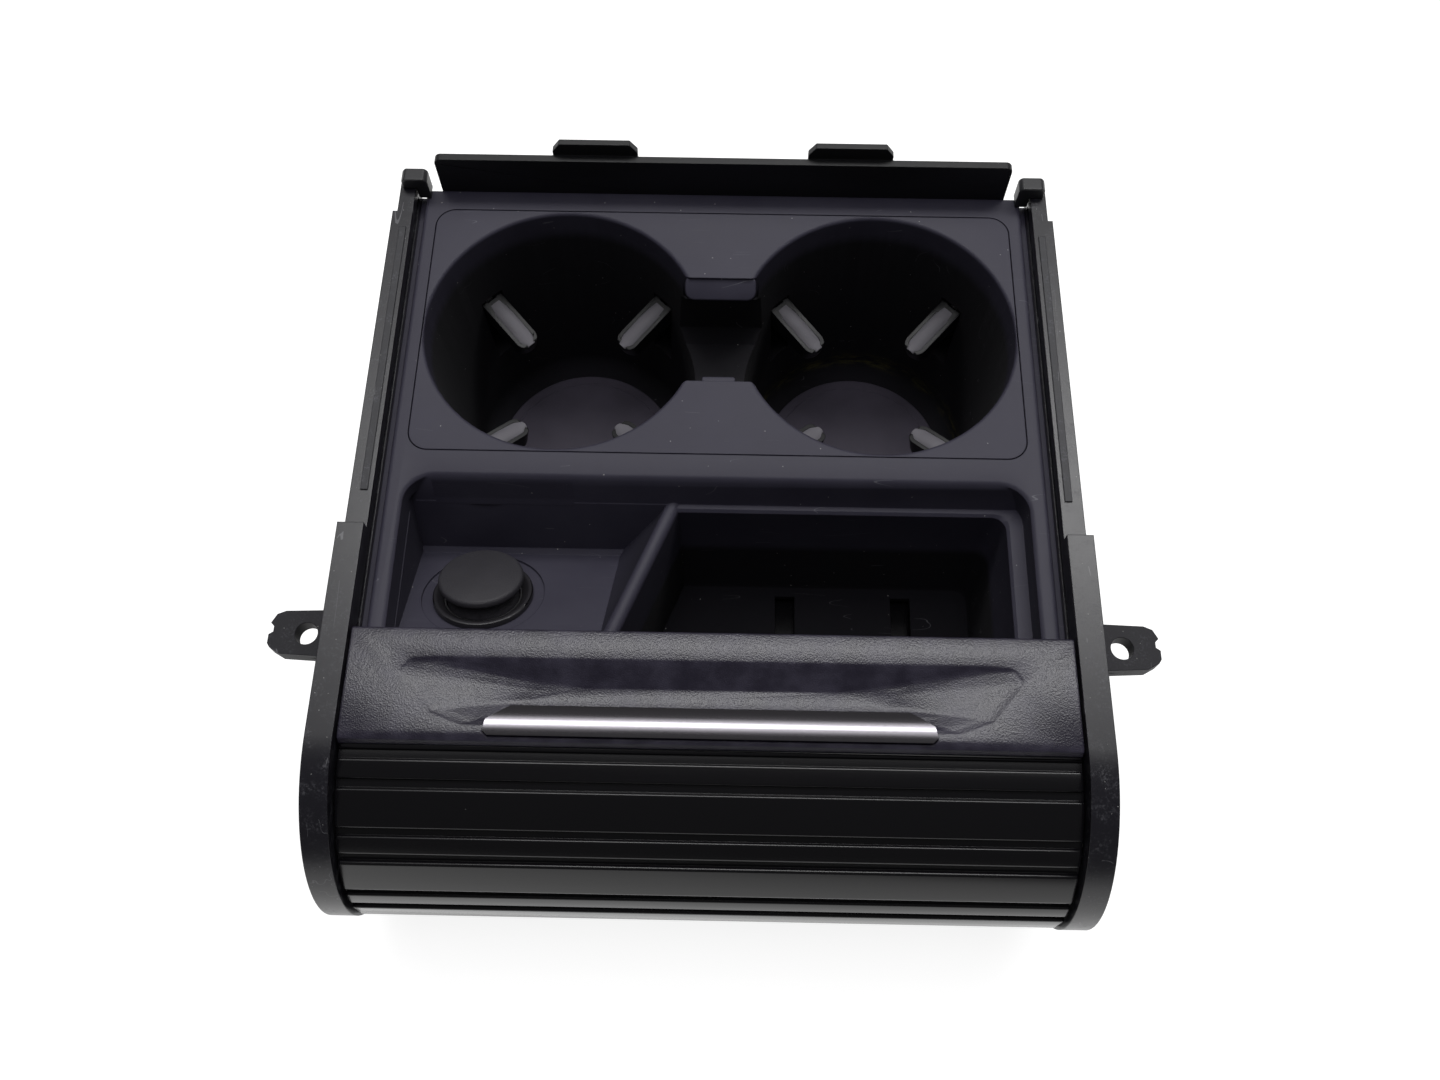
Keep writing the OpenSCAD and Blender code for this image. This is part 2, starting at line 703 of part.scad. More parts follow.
// The plan of a rubber pad, with its straight end at the origin, narrowed by d all round.
module pad_plan(d) {
    pad_l = finger_l - pad_start - (finger_w - pad_w) / 2;
    translate([d, -pad_w / 2 + d]) square([pad_l - pad_w / 2 - d, pad_w - 2 * d]);
    translate([pad_l - pad_w / 2, 0]) circle(pad_w / 2 - d);
}

module grip_pad(i) {
    color([0.22, 0.22, 0.23]) along_finger(i) translate([pad_start, 0, finger_boss_r - pad_depth])
        linear_extrude(pad_depth + 0.15) pad_plan(0.15);
}

module finger_pins() {
    color([0.6, 0.6, 0.62]) for (i = [0 : finger_count - 1]) at_finger(i)
        translate([finger_pin_r, 0, finger_pin_z]) across(pin_r, house_w - 0.4);
}

module finger_springs() {
    wire_r = 0.35;
    coil_r = pin_r + 0.1 + wire_r;
    turns = 4;
    color([0.5, 0.5, 0.52]) for (i = [0 : finger_count - 1]) at_finger(i)
        translate([finger_pin_r, 0, finger_pin_z]) {
            rotate([90, 0, 0]) rotate_extrude($fn = 24) for (k = [0 : turns - 1])
                translate([coil_r, (k - (turns - 1) / 2) * wire_r * 1.9]) circle(wire_r, $fn = 16);
            // leg against the back of the housing
            translate([0, -1, coil_r]) rotate([0, 90, 0])
                cylinder(r = wire_r, h = finger_house_r - finger_pin_r - 0.05, $fn = 16);
            // leg under the finger, inside the room between its lugs
            rotate([0, -finger_droop, 0]) translate([-finger_boss_r, 1, -coil_r]) rotate([0, 90, 0])
                cylinder(r = wire_r, h = finger_boss_r, $fn = 16);
        }
}

// The outline of a cheek in (Y, Z), moved inwards by d.
module cheek_plan(d) {
    nose_cy = nose_y + 0.7;
    translate([nose_cy, (cap_z + cheek_bottom_z) / 2]) circle(nose_cap_r - d, $fn = 128);
    translate([nose_cy, cheek_bottom_z + d]) square([cap_end_y - d - nose_cy, cap_z - cheek_bottom_z - 2 * d]);
    translate([nose_cy, cheek_bottom_z + d])
        square([cheek_low_end_y - d - nose_cy, rail_z - cheek_bottom_z - 2 * d]);
    translate([0, rail_bottom_z + d]) square([cheek_rear_y - d, rail_z - rail_bottom_z - 2 * d]);
}

// The track of the shutter's tongues in (Y, Z), widened by g all round.
module track_plan(g, rear_y, lower_y) {
    out_r = tongue_out_r + g;
    in_r = tongue_in_r - g;
    translate([nose_y, nose_z]) difference() {
        circle(out_r, $fn = 128);
        circle(in_r, $fn = 128);
        translate([0, -out_r - past]) square([out_r + past, 2 * out_r + 2 * past]);
    }
    translate([nose_y, nose_z + in_r]) square([rear_y - nose_y, out_r - in_r]);
    translate([nose_y, nose_z - out_r]) square([lower_y - nose_y, out_r - in_r]);
}

// The plan of an ear, from the cheek to its tip.
module ear_plan() {
    tip_x = ear_x + 10.5;
    polygon([
        [cheek_in_x + 3.5, -7.2], [tip_x - 4, -6], [tip_x - 0.8, -4.2], [tip_x, -3], [tip_x, -0.4],
        [tip_x - 1.2, 0.4], [tip_x - 1.2, 2], [tip_x - 0.2, 3], [tip_x - 1.6, 5.6], [tip_x - 4, 6.6],
        [cheek_in_x + 3.5, 7.4]
    ]);
}

module cheek(side) {
    rim = 3;
    rib_reach = 4;
    gusset_t = 2;
    color([0.05, 0.05, 0.055]) on_side(side) difference() {
        union() {
            difference() {
                along_x(cheek_in_x, cheek_out_x) cheek_plan(0);
                // the outer side is a pan with a rim and ribs
                difference() {
                    along_x(web_x, cheek_out_x + past) cheek_plan(rim);
                    for (y = cheek_rib_ys)
                        translate([web_x - past, y, -200]) cube([rib_reach, cheek_rib_t, 300]);
                    translate([web_x - past, nose_y - 4, -14]) cube([rib_reach, 100, cheek_rib_t]);
                    // pad behind the ear, and bosses of the screws
                    translate([web_x - past, -11, -12]) cube([cheek_t, 22, 18]);
                    for (y = screw_ys) translate([web_x - past, y, screw_z]) rotate([0, 90, 0])
                        cylinder(r = boss_r + 0.6, h = screw_seat_x - web_x + past);
                    for (y = cover_screw_ys) translate([cover_screw_x, y, cheek_bottom_z])
                        cylinder(r = 2.4, h = 9);
                }
            }
            translate([0, 0, -ear_t]) linear_extrude(ear_t) ear_plan();
            // gusset under the ear
            translate([0, gusset_t / 2, 0]) rotate([90, 0, 0]) linear_extrude(gusset_t)
                polygon([[cheek_out_x - 1, -ear_t], [ear_x - 6, -ear_t], [cheek_out_x - 1, -ear_t - 9]]);
        }
        // the rear rail is a little narrower than the front cap
        translate([cheek_out_x - 1, cap_end_y, -200]) cube([5, 300, 300]);
        translate([cheek_out_x - 2.4, deck_rear_y - 11, -200]) cube([5, 300, 300]);
        along_x(cheek_in_x - past, cheek_in_x + track_depth)
            track_plan(track_play, cheek_rear_y - 3, cheek_low_end_y + past);
        // hole of the ear, and the fine groove along its front edge
        translate([ear_x, 0, -ear_t - past]) cylinder(r = ear_hole_r, h = ear_t + 2 * past);
        translate([cheek_out_x + 2, -9, -2.4]) cube([30, 2.6, 0.5]);
        translate([cheek_out_x + 2, -4.2, -ear_t - past]) rotate([0, 0, 45])
            cylinder(r = 1.3, h = ear_t + 2 * past, $fn = 3);
        for (y = screw_ys) translate([cheek_in_x - past, y, screw_z]) rotate([0, 90, 0])
            cylinder(r = screw_r + 0.2, h = cheek_t + 2 * past);
        for (y = cover_screw_ys) translate([cover_screw_x, y, cheek_bottom_z - past])
            cylinder(r = cover_screw_r + screw_play, h = cover_screw_l);
    }
}

module rail_strip(side) {
    strip_w = 2;
    strip_t = 0.4;
    front_y = cap_end_y + 11;
    rear_y = deck_rear_y - 17;
    color([0.2, 0.2, 0.21]) on_side(side) translate([cheek_in_x + 1.2, front_y, rail_z])
        cube([strip_w, rear_y - front_y, strip_t]);
}

module end_block(side) {
    block_l = 4.6;
    block_h = 8.6;
    color([0.08, 0.08, 0.085]) on_side(side) translate([0, deck_rear_y + 1.6, 0]) rotate([90, 0, 0])
        linear_extrude(block_l) polygon([
            [deck_w / 2 - 2, deck_z + 0.2], [cheek_in_x - 0.2, deck_z + 0.2], [cheek_in_x - 0.2, rail_z],
            [cheek_out_x - 3.2, rail_z], [cheek_out_x - 3.2, deck_z + block_h - 1],
            [cheek_out_x - 4.2, deck_z + block_h], [deck_w / 2 - 1, deck_z + block_h],
            [deck_w / 2 - 2, deck_z + block_h - 1]
        ]);
}

module rear_flange() {
    plate_t = 2.4;
    upper_w = deck_w - 10;
    plate_top_z = deck_z + flange_h;
    lower_top_z = 11;
    lower_bottom_z = -8;
    hole_x = 52;
    tab_x = 37.9;
    tab_t = 2;
    color([0.03, 0.03, 0.03]) {
        translate([0, deck_rear_y + plate_t, 0]) rotate([90, 0, 0]) linear_extrude(plate_t) difference() {
            union() {
                translate([0, (plate_top_z + 2) / 2]) round_rect([upper_w, plate_top_z - 2], 2);
                translate([2.6 - cheek_out_x, lower_bottom_z])
                    square([2 * cheek_out_x - 5.2, lower_top_z - lower_bottom_z]);
            }
            for (x = [-hole_x, hole_x]) translate([x, 2]) circle(2.6);
        }
        // clip tabs behind the upper edge
        for (x = [-tab_x, tab_x]) translate([x, deck_rear_y + plate_t + tab_t, 0]) rotate([90, 0, 0])
            linear_extrude(tab_t) polygon([
                [-12.6, deck_z + 3], [12.6, deck_z + 3], [12.6, plate_top_z + 1.5],
                [10.4, plate_top_z + 4.6], [-10.4, plate_top_z + 4.6], [-12.6, plate_top_z + 1.5]
            ]);
    }
}

// The lead panel lies above the deck by this gap
lead_gap = 0.8;
lead_rear_y = -6.4;
lead_front_y = lead_rear_y - lead_l;
lead_bottom_z = deck_z + lead_gap;
lead_top_z = lead_bottom_z + lead_t;
handle_w = 8.4;
handle_front_y = lead_front_y + 1.9;
handle_y = handle_front_y + handle_w / 2;
handle_seat_z = lead_top_z - 2.2;
handle_play = 0.12;

// The finger scoop, by its right half: outlines of its rim and of its floor, from the near edge past
// the pointed tip to the far edge. Y counts from the lead panel's front edge.
scoop_rim = [[62, 5], [70.5, 8.1], [78.9, 18.3], [76.4, 21.5], [70, 22]];
scoop_floor = [[44, 10.7], [48, 12.1], [40, 14.8], [36, 15.5], [32, 15.8]];
scoop_edge_r = 0.8;
scoop_floor_tilt = 5;

// Returns both halves of an outline, from its right half.
function both_halves(half) = [
    [-half[0][0], half[0][1]], each half, for (k = [len(half) - 1 : -1 : 1]) [-half[k][0], half[k][1]]
];

// Returns one ring of the scoop at a share t of the way from its rim to its floor, flared outwards.
// The floor falls a little towards its far side.
function scoop_ring(t, lift = 0, flare = 0) =
    let (
        corners = both_halves([for (k = [0 : len(scoop_rim) - 1]) scoop_rim[k] * (1 - t) + scoop_floor[k] * t]),
        outline = rounded(inset(corners, [for (c = corners) -flare]), 1.6 - 0.8 * t + flare, 5),
        far = scoop_floor[4][1]
    )
    [for (p = outline) [
        p[0], lead_front_y + p[1],
        lead_top_z - scoop_depth * t + t * (far - p[1]) * tan(scoop_floor_tilt) + lift
    ]];

module finger_scoop() {
    r = scoop_edge_r;
    loft([
        for (t = [1 : -0.125 : 0.125]) scoop_ring(t),
        for (a = [45, 70]) scoop_ring(0, -r * (1 - sin(a)), r * (1 - cos(a)) - 0.3 * r),
        scoop_ring(0, 0, 0.7 * r), scoop_ring(0, past, 0.7 * r + past)
    ]);
}

module lead_panel() {
    edge = 1;
    color([0.1, 0.1, 0.105]) difference() {
        along_x(-shutter_w / 2, shutter_w / 2) polygon([
            [lead_front_y, lead_bottom_z], [lead_rear_y, lead_bottom_z],
            [lead_rear_y, lead_top_z - edge], [lead_rear_y - 0.3 * edge, lead_top_z - 0.3 * edge],
            [lead_rear_y - edge, lead_top_z], [lead_front_y + 2.4 * edge, lead_top_z],
            [lead_front_y + 0.8 * edge, lead_top_z - 0.6 * edge], [lead_front_y, lead_top_z - 2 * edge]
        ]);
        finger_scoop();
        // seat of the handle bar
        translate([0, handle_y, handle_seat_z]) linear_extrude(10) handle_plan(0);
    }
}

// The handle bar's plan: a long bar whose rear corners are cut back.
module handle_plan(d) {
    half_l = handle_l / 2 - d;
    half_w = handle_w / 2 - d;
    front_cut = 1.2;
    rear_cut = 6.5;
    polygon([
        [front_cut - half_l, -half_w], [half_l - front_cut, -half_w], [half_l, front_cut - half_w],
        [half_l - front_cut / 2, 0], [half_l - rear_cut, half_w], [rear_cut - half_l, half_w],
        [front_cut / 2 - half_l, 0], [-half_l, front_cut - half_w]
    ]);
}

module handle_bar() {
    crown_r = 9;
    stand = 1.1;
    color([0.62, 0.62, 0.65]) translate([0, handle_y, 0]) intersection() {
        translate([0, 0, handle_seat_z]) linear_extrude(6) handle_plan(handle_play);
        translate([0, 0, lead_top_z + stand - crown_r]) rotate([0, 90, 0])
            cylinder(r = crown_r, h = handle_l, center = true, $fn = 128);
    }
}

module lead_guides() {
    tongue_top = nose_z + tongue_out_r;
    guide_l = lead_l - 4;
    guide_w = deck_gap + track_depth - 2 * tongue_play;
    guide_y = lead_front_y + (lead_l - guide_l) / 2;
    color([0.3, 0.3, 0.31]) for (side = [-1, 1]) on_side(side) {
        translate([tongue_x, guide_y, tongue_top - tongue_t]) cube([guide_w, guide_l, tongue_t]);
        translate([tongue_x, guide_y, tongue_top - 0.1])
            cube([shutter_w / 2 - tongue_x, guide_l, lead_bottom_z - tongue_top + 0.1]);
    }
}

// The shutter's curved strip in (Y, Z), from radius r0 to r1 about the nose.
module strip_plan(r0, r1) {
    translate([nose_y, nose_z]) difference() {
        circle(r1, $fn = 128);
        circle(r0, $fn = 128);
        translate([-0.8, -r1 - past]) square([r1 + 2 * past, 2 * r1 + 2 * past]);
    }
    translate([nose_y - 0.8, nose_z - r1]) square([lower_run_l + 0.8, r1 - r0]);
}

// Places a child at a distance s along the shutter's outer face, X along the path.
module along_shutter(s) {
    turn = s / nose_r * 180 / PI;
    if (turn < 180)
        translate([nose_y, nose_z]) rotate(turn) translate([0, nose_r]) children();
    else
        translate([nose_y + s - PI * nose_r, nose_z - nose_r]) children();
}

module shutter_curtain() {
    first = 1.9;
    last = curtain_l - 4;
    groove_depth = 1.2;
    second = narrow_rib_w + rib_groove_w;
    starts = [for (s = [first : rib_pitch : last]) each [s, s + second]];
    color([0.04, 0.04, 0.045]) {
        along_x(-shutter_w / 2, shutter_w / 2) difference() {
            strip_plan(nose_r - slat_t, nose_r);
            for (s = starts) if (s < last) along_shutter(s + rib_groove_w / 2)
                square([rib_groove_w, 2 * groove_depth], center = true);
        }
        // tongues that run in the side tracks
        for (side = [-1, 1]) on_side(side) {
            along_x(tongue_x, cheek_in_x + track_depth - tongue_play) strip_plan(tongue_in_r, tongue_out_r);
            along_x(tongue_x, shutter_w / 2) strip_plan(tongue_out_r - 0.1, nose_r - slat_t + 0.1);
        }
    }
}

module lower_cover() {
    length = cover_rear_y - cover_front_y;
    plate_z = cover_top_z - cover_t;
    end = 3;
    rib_l = length - 2 * end;
    rib_pitch_x = (cover_half_w - 21.6) / 2;
    cross_l = 4 * rib_pitch_x + foot_t;
    flank_w = cover_half_w - cheek_in_x - 0.2;
    color([0.1, 0.1, 0.1]) difference() {
        union() {
            translate([-cover_half_w, cover_front_y, plate_z]) cube([2 * cover_half_w, length, cover_t]);
            for (side = [-1, 1]) on_side(side)
                translate([cover_half_w - flank_w, cover_front_y, cover_top_z - 0.1])
                cube([flank_w, length, cheek_bottom_z - cover_top_z + 0.1]);
            // ribs that the holder stands on, and two lower ribs across them
            for (k = [-2 : 2]) translate([k * rib_pitch_x - foot_t / 2, cover_front_y + end, foot_bottom_z])
                cube([foot_t, rib_l, plate_z - foot_bottom_z + 0.1]);
            for (y = [cover_front_y + end, cover_rear_y - end - foot_t])
                translate([-cross_l / 2, y, foot_bottom_z + (plate_z - foot_bottom_z) * 0.35])
                cube([cross_l, foot_t, (plate_z - foot_bottom_z) * 0.65 + 0.1]);
        }
        for (side = [-1, 1], y = cover_screw_ys) translate([side * cover_screw_x, y, cover_top_z - 5])
            cylinder(r = cover_screw_r + 0.2, h = 10);
    }
}

module socket_barrel() {
    wall = 0.4;
    bottom_t = 1;
    hole_r = 3;
    color([0.55, 0.55, 0.57]) at_socket() translate([0, 0, -barrel_drop]) rotate([180, 0, 0]) difference() {
        cylinder(r = socket_r + wall, h = socket_l);
        translate([0, 0, -past]) cylinder(r = socket_r, h = socket_l - bottom_t + past);
        translate([0, 0, socket_l - bottom_t - past]) cylinder(r = hole_r, h = bottom_t + 2 * past);
    }
}

module socket_ring() {
    inner_r = socket_r + 0.5;
    rise = 1;
    color([0.2, 0.2, 0.21]) at_socket() rotate_extrude() polygon([
        [inner_r, -ring_tube_l], [ring_tube_r, -ring_tube_l], [ring_tube_r, -dish_depth],
        [ring_r, -dish_depth], [ring_r, 0.6 * rise], [ring_r - 0.4, rise], [ring_r - 1.2, rise],
        [ring_r - 2.2, 0.2 * rise], [inner_r, -0.4 * rise]
    ]);
}

module socket_nut() {
    color([0.15, 0.15, 0.15]) at_socket() translate([0, 0, -pocket_wall - collar_t - nut_t]) difference() {
        cylinder(r = ring_r + 2, h = nut_t, $fn = 8);
        translate([0, 0, -past]) cylinder(r = ring_tube_r + 0.05, h = nut_t + 2 * past);
    }
}

module socket_terminal() {
    base_r = 6.5;
    base_t = 5;
    blade_t = 0.8;
    blade_w = 6;
    blade_l = 7.5;
    blade_x = 3;
    color([0.75, 0.72, 0.65]) at_socket() translate([0, 0, -barrel_drop - socket_l]) {
        translate([0, 0, -base_t]) cylinder(r = base_r, h = base_t);
        cylinder(r = 2.9, h = 3.5);
        for (x = [-blade_x, blade_x]) translate([x - blade_t / 2, -blade_w / 2, -base_t + 0.5 - blade_l])
            cube([blade_t, blade_w, blade_l]);
    }
}

module socket_cap() {
    disc_t = 2.8;
    disc_top = 7;
    disc_bottom = disc_top - disc_t;
    plug_r = socket_r - 0.3;
    plug_l = 16;
    bore_r = 6.5;
    neck_r = socket_r - 1.2;
    color([0.2, 0.2, 0.2]) at_socket() {
        rotate_extrude() polygon([
            [0, disc_bottom], [cap_r - 0.7, disc_bottom], [cap_r, disc_bottom + 0.7],
            [cap_r, disc_top - 0.8], [cap_r - 0.3, disc_top - 0.3], [cap_r - 1, disc_top], [0, disc_top]
        ]);
        rotate_extrude() polygon([
            [bore_r, -plug_l], [plug_r - 0.7, -plug_l], [plug_r, 2 - plug_l], [plug_r, -1],
            [neck_r, 1], [neck_r, disc_bottom + 0.1], [0, disc_bottom + 0.1], [0, 2], [bore_r, 0]
        ]);
    }
}

module cheek_screws() {
    color([0.35, 0.35, 0.36]) for (side = [-1, 1], y = screw_ys) on_side(side)
        translate([screw_tip_x, y, screw_z]) rotate([0, 90, 0]) {
            cylinder(r = screw_r, h = screw_seat_x - screw_tip_x);
            translate([0, 0, screw_seat_x - screw_tip_x]) pan_head(screw_head_r, screw_head_h);
        }
}

// A screw's round head with a cross cut in it.
module pan_head(r, h) {
    difference() {
        cylinder(r1 = r, r2 = r * 0.8, h = h);
        for (a = [0, 90]) rotate([0, 0, a]) translate([-r / 2, -0.35, h - 0.7]) cube([r, 0.7, 1]);
    }
}

module cover_screws() {
    color([0.35, 0.35, 0.36]) for (side = [-1, 1], y = cover_screw_ys) on_side(side)
        translate([cover_screw_x, y, cover_top_z - cover_t]) {
            cylinder(r = cover_screw_r, h = cover_screw_l);
            rotate([180, 0, 0]) pan_head(cover_screw_r + 0.9, 1.6);
        }
}

tray();
cup_insert();
cup_mat(-1);  // cup_mat_left
cup_mat(1);  // cup_mat_right
grip_finger(0);  // grip_finger_1
grip_finger(1);  // grip_finger_2
grip_finger(2);  // grip_finger_3
grip_finger(3);  // grip_finger_4
grip_finger(4);  // grip_finger_5
grip_finger(5);  // grip_finger_6
grip_finger(6);  // grip_finger_7
grip_finger(7);  // grip_finger_8
grip_pad(0);  // grip_pad_1
grip_pad(1);  // grip_pad_2
grip_pad(2);  // grip_pad_3
grip_pad(3);  // grip_pad_4
grip_pad(4);  // grip_pad_5
grip_pad(5);  // grip_pad_6
grip_pad(6);  // grip_pad_7
grip_pad(7);  // grip_pad_8
finger_pins();
finger_springs();
cheek(-1);  // cheek_left
cheek(1);  // cheek_right
rail_strip(-1);  // rail_strip_left
rail_strip(1);  // rail_strip_right
end_block(-1);  // end_block_left
end_block(1);  // end_block_right
rear_flange();
lead_panel();
handle_bar();
lead_guides();
shutter_curtain();
lower_cover();
socket_barrel();
socket_ring();
socket_nut();
socket_terminal();
socket_cap();
cheek_screws();
cover_screws();
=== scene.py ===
"""The looks of a car cup holder: a console insert with two cups, a socket shelf and a slatted shutter.

Every size is in metres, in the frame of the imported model: X right, Y to the rear, Z up, with the
origin between the holes of the two side ears.
"""
import json
import math

import bmesh
import bpy
from mathutils import Euler, Matrix, Vector
from mathutils.bvhtree import BVHTree


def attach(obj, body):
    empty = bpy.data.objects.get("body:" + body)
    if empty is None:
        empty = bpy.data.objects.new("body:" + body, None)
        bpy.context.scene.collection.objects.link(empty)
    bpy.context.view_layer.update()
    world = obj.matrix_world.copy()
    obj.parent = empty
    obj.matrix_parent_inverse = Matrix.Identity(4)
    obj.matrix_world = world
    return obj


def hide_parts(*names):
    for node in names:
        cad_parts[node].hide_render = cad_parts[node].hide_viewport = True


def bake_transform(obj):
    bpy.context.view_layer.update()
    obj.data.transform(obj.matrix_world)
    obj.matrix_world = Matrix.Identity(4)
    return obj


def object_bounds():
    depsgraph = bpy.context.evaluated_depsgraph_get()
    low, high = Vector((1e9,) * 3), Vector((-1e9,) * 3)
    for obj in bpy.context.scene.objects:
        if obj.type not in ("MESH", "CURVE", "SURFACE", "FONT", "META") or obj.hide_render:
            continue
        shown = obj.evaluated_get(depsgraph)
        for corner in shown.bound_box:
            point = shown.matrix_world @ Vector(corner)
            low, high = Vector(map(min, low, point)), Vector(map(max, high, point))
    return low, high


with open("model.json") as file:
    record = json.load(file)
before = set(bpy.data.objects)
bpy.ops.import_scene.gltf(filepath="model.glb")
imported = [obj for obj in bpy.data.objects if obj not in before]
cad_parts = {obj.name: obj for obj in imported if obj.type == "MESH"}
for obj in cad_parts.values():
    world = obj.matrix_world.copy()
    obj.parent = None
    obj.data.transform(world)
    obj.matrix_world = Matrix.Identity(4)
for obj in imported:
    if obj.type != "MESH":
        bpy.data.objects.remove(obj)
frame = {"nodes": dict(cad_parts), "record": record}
nodes = frame["nodes"]
CAD_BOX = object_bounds()
MM = 0.001

# Points closer than this are one
WELD = 0.01 * MM

# The camera stands in front of the holder and looks down into the cups
CAMERA_PLACE = Vector((4.1, -111.4, 327.5)) * MM
CAMERA_TURN = [math.radians(a) for a in (23.44, 0.01, 1.12)]
CAMERA_LENS = 31.06

SIDES = ("left", "right")

# The shutter's path and slats, as in the model's source
NOSE_Y = -36 * MM
NOSE_Z = -13 * MM
NOSE_R = 37 * MM
CURTAIN_L = 192 * MM
SHUTTER_W = 184.8 * MM
SLAT_PITCH = 19.7 * MM
NARROW_W = 5.1 * MM
WIDE_W = 10.0 * MM
GROOVE_W = 2.3 * MM
FIRST_GROOVE = 1.9 * MM
TRAVEL = 139.8 * MM

# How round the slats' outer edges are, and where the level run waits at rest
SLAT_EDGE = 0.65 * MM
RUN_REST_Y = -36.6 * MM
RUN_REST_L = 1.5 * MM

# The grip fingers, as in the model's source
FINGERS = range(1, 9)
CUP_X = 46.1 * MM
CUP_Y = 89.0 * MM
FINGER_PIN_R = 42 * MM
FINGER_PIN_Z = -11.2 * MM
FINGER_DROOP = 16.4
FINGER_L = 21.89 * MM
FINGER_W = 7.5 * MM
FINGER_TOP = 4.2 * MM
PAD_START = 3.4 * MM
PAD_W = 5.6 * MM

# The pads' own forms
PAD_TIP_GAP = 0.6 * MM
PAD_CROWN = 0.6 * MM
PAD_RISE = 0.2 * MM
PAD_SINK = 0.4 * MM
PAD_BASE = 0.7 * MM
PAD_ROWS = 24
PAD_ACROSS = (-1.0, -0.9, -0.7, -0.35, 0.0, 0.35, 0.7, 0.9, 1.0)

# How far the handle's crown leans to the rear, as a slope, and how soon it takes hold above the base
HANDLE_LEAN = 0.21
LEAN_ONSET = 1.6

# Where a skin carries the mouth's rear wall across the socket's dish
PATCH_X = (-79.0 * MM, -40.0 * MM)
PATCH_Z = (9.5 * MM, 19.9 * MM)
PATCH_ROWS = 12
PATCH_LIFT = 0.04 * MM
PROFILE_FROM = (-36.0 * MM, 30.0 * MM)

# The thickness of the slats, and of the web that joins them, and how far each lies inside the path
SLAT_DEPTH = 1.6 * MM
SLAT_INSET = 0.15 * MM
WEB_INSET = 1.2 * MM


def add_object(name, data):
    made = bpy.data.objects.new(name, data)
    bpy.context.scene.collection.objects.link(made)
    return made


class Wire:
    """One output of a tree's node. Arithmetic on wires adds Math nodes to the tree."""

    def __init__(self, owner, socket):
        self.owner = owner
        self.socket = socket

    def math(self, operation, *values):
        sockets = dict(enumerate((self, *values)))
        return self.owner.node("ShaderNodeMath", {"operation": operation}, sockets)

    def __add__(self, other):
        return self.math("ADD", other)

    __radd__ = __add__

    def __mul__(self, other):
        return self.math("MULTIPLY", other)

    __rmul__ = __mul__

    def __sub__(self, other):
        return self.math("SUBTRACT", other)

    def __rsub__(self, other):
        return self.owner.node("ShaderNodeMath", {"operation": "SUBTRACT"}, {0: other, 1: self})

    def __lt__(self, other):
        return self.math("LESS_THAN", other)

    def __gt__(self, other):
        return self.math("GREATER_THAN", other)

    def __abs__(self):
        return self.math("ABSOLUTE")

    def clamped(self):
        return self.owner.node("ShaderNodeClamp", {}, {0: self})

    def between(self, low, high):
        """Rises from 0 at low to 1 at high, smoothly."""
        settings = {"interpolation_type": "SMOOTHSTEP"}
        return self.owner.node("ShaderNodeMapRange", settings, {0: self, 1: low, 2: high})


class NodeTree:
    """A tree of nodes. Its node method adds any node and returns one of its outputs."""

    def __init__(self, tree):
        self.tree = tree

    def node(self, kind, settings, sockets, output=0):
        made = self.tree.nodes.new(kind)
        for name, value in settings.items():
            if name == "stops":
                self.set_stops(made.color_ramp, value)
            else:
                setattr(made, name, value)
        for name, value in sockets.items():
            self.feed(made.inputs[name], value)
        return Wire(self, made.outputs[output])

    @staticmethod
    def set_stops(ramp, stops):
        while len(ramp.elements) < len(stops):
            ramp.elements.new(1.0)
        for element, (place, colour) in zip(ramp.elements, stops):
            element.position = place
            element.color = (*colour, 1.0)

    def feed(self, socket, value):
        if isinstance(value, Wire):
            self.tree.links.new(value.socket, socket)
        elif socket.type == "RGBA":
            socket.default_value = (*value, 1.0)
        else:
            socket.default_value = value


class Form(NodeTree):
    """A Geometry Nodes tree with named inputs, for what repeats."""

    def __init__(self, name):
        super().__init__(bpy.data.node_groups.new(name, "GeometryNodeTree"))
        self.tree.interface.new_socket("Geometry", in_out="OUTPUT", socket_type="NodeSocketGeometry")
        self.entry = self.tree.nodes.new("NodeGroupInput")
        self.exit = self.tree.nodes.new("NodeGroupOutput")

    def input(self, name, kind):
        self.tree.interface.new_socket(name, in_out="INPUT", socket_type=kind)
        return Wire(self, self.entry.outputs[name])

    def ends_in(self, geometry, material):
        """The closing nodes: real meshes with one material."""
        real = self.node("GeometryNodeRealizeInstances", {}, {0: geometry})
        painted = self.node("GeometryNodeSetMaterial", {}, {"Geometry": real, "Material": material})
        self.feed(self.exit.inputs[0], painted)

    def mesh(self, values):
        """Runs the tree with these inputs and returns what it makes as a plain mesh."""
        carrier = add_object("carrier", bpy.data.meshes.new("carrier"))
        modifier = carrier.modifiers.new("form", "NODES")
        modifier.node_group = self.tree
        for item in self.tree.interface.items_tree:
            if item.in_out == "INPUT":
                modifier[item.identifier] = values[item.name]
        depsgraph = bpy.context.evaluated_depsgraph_get()
        made = bpy.data.meshes.new_from_object(carrier.evaluated_get(depsgraph))
        bpy.data.objects.remove(carrier)
        return made


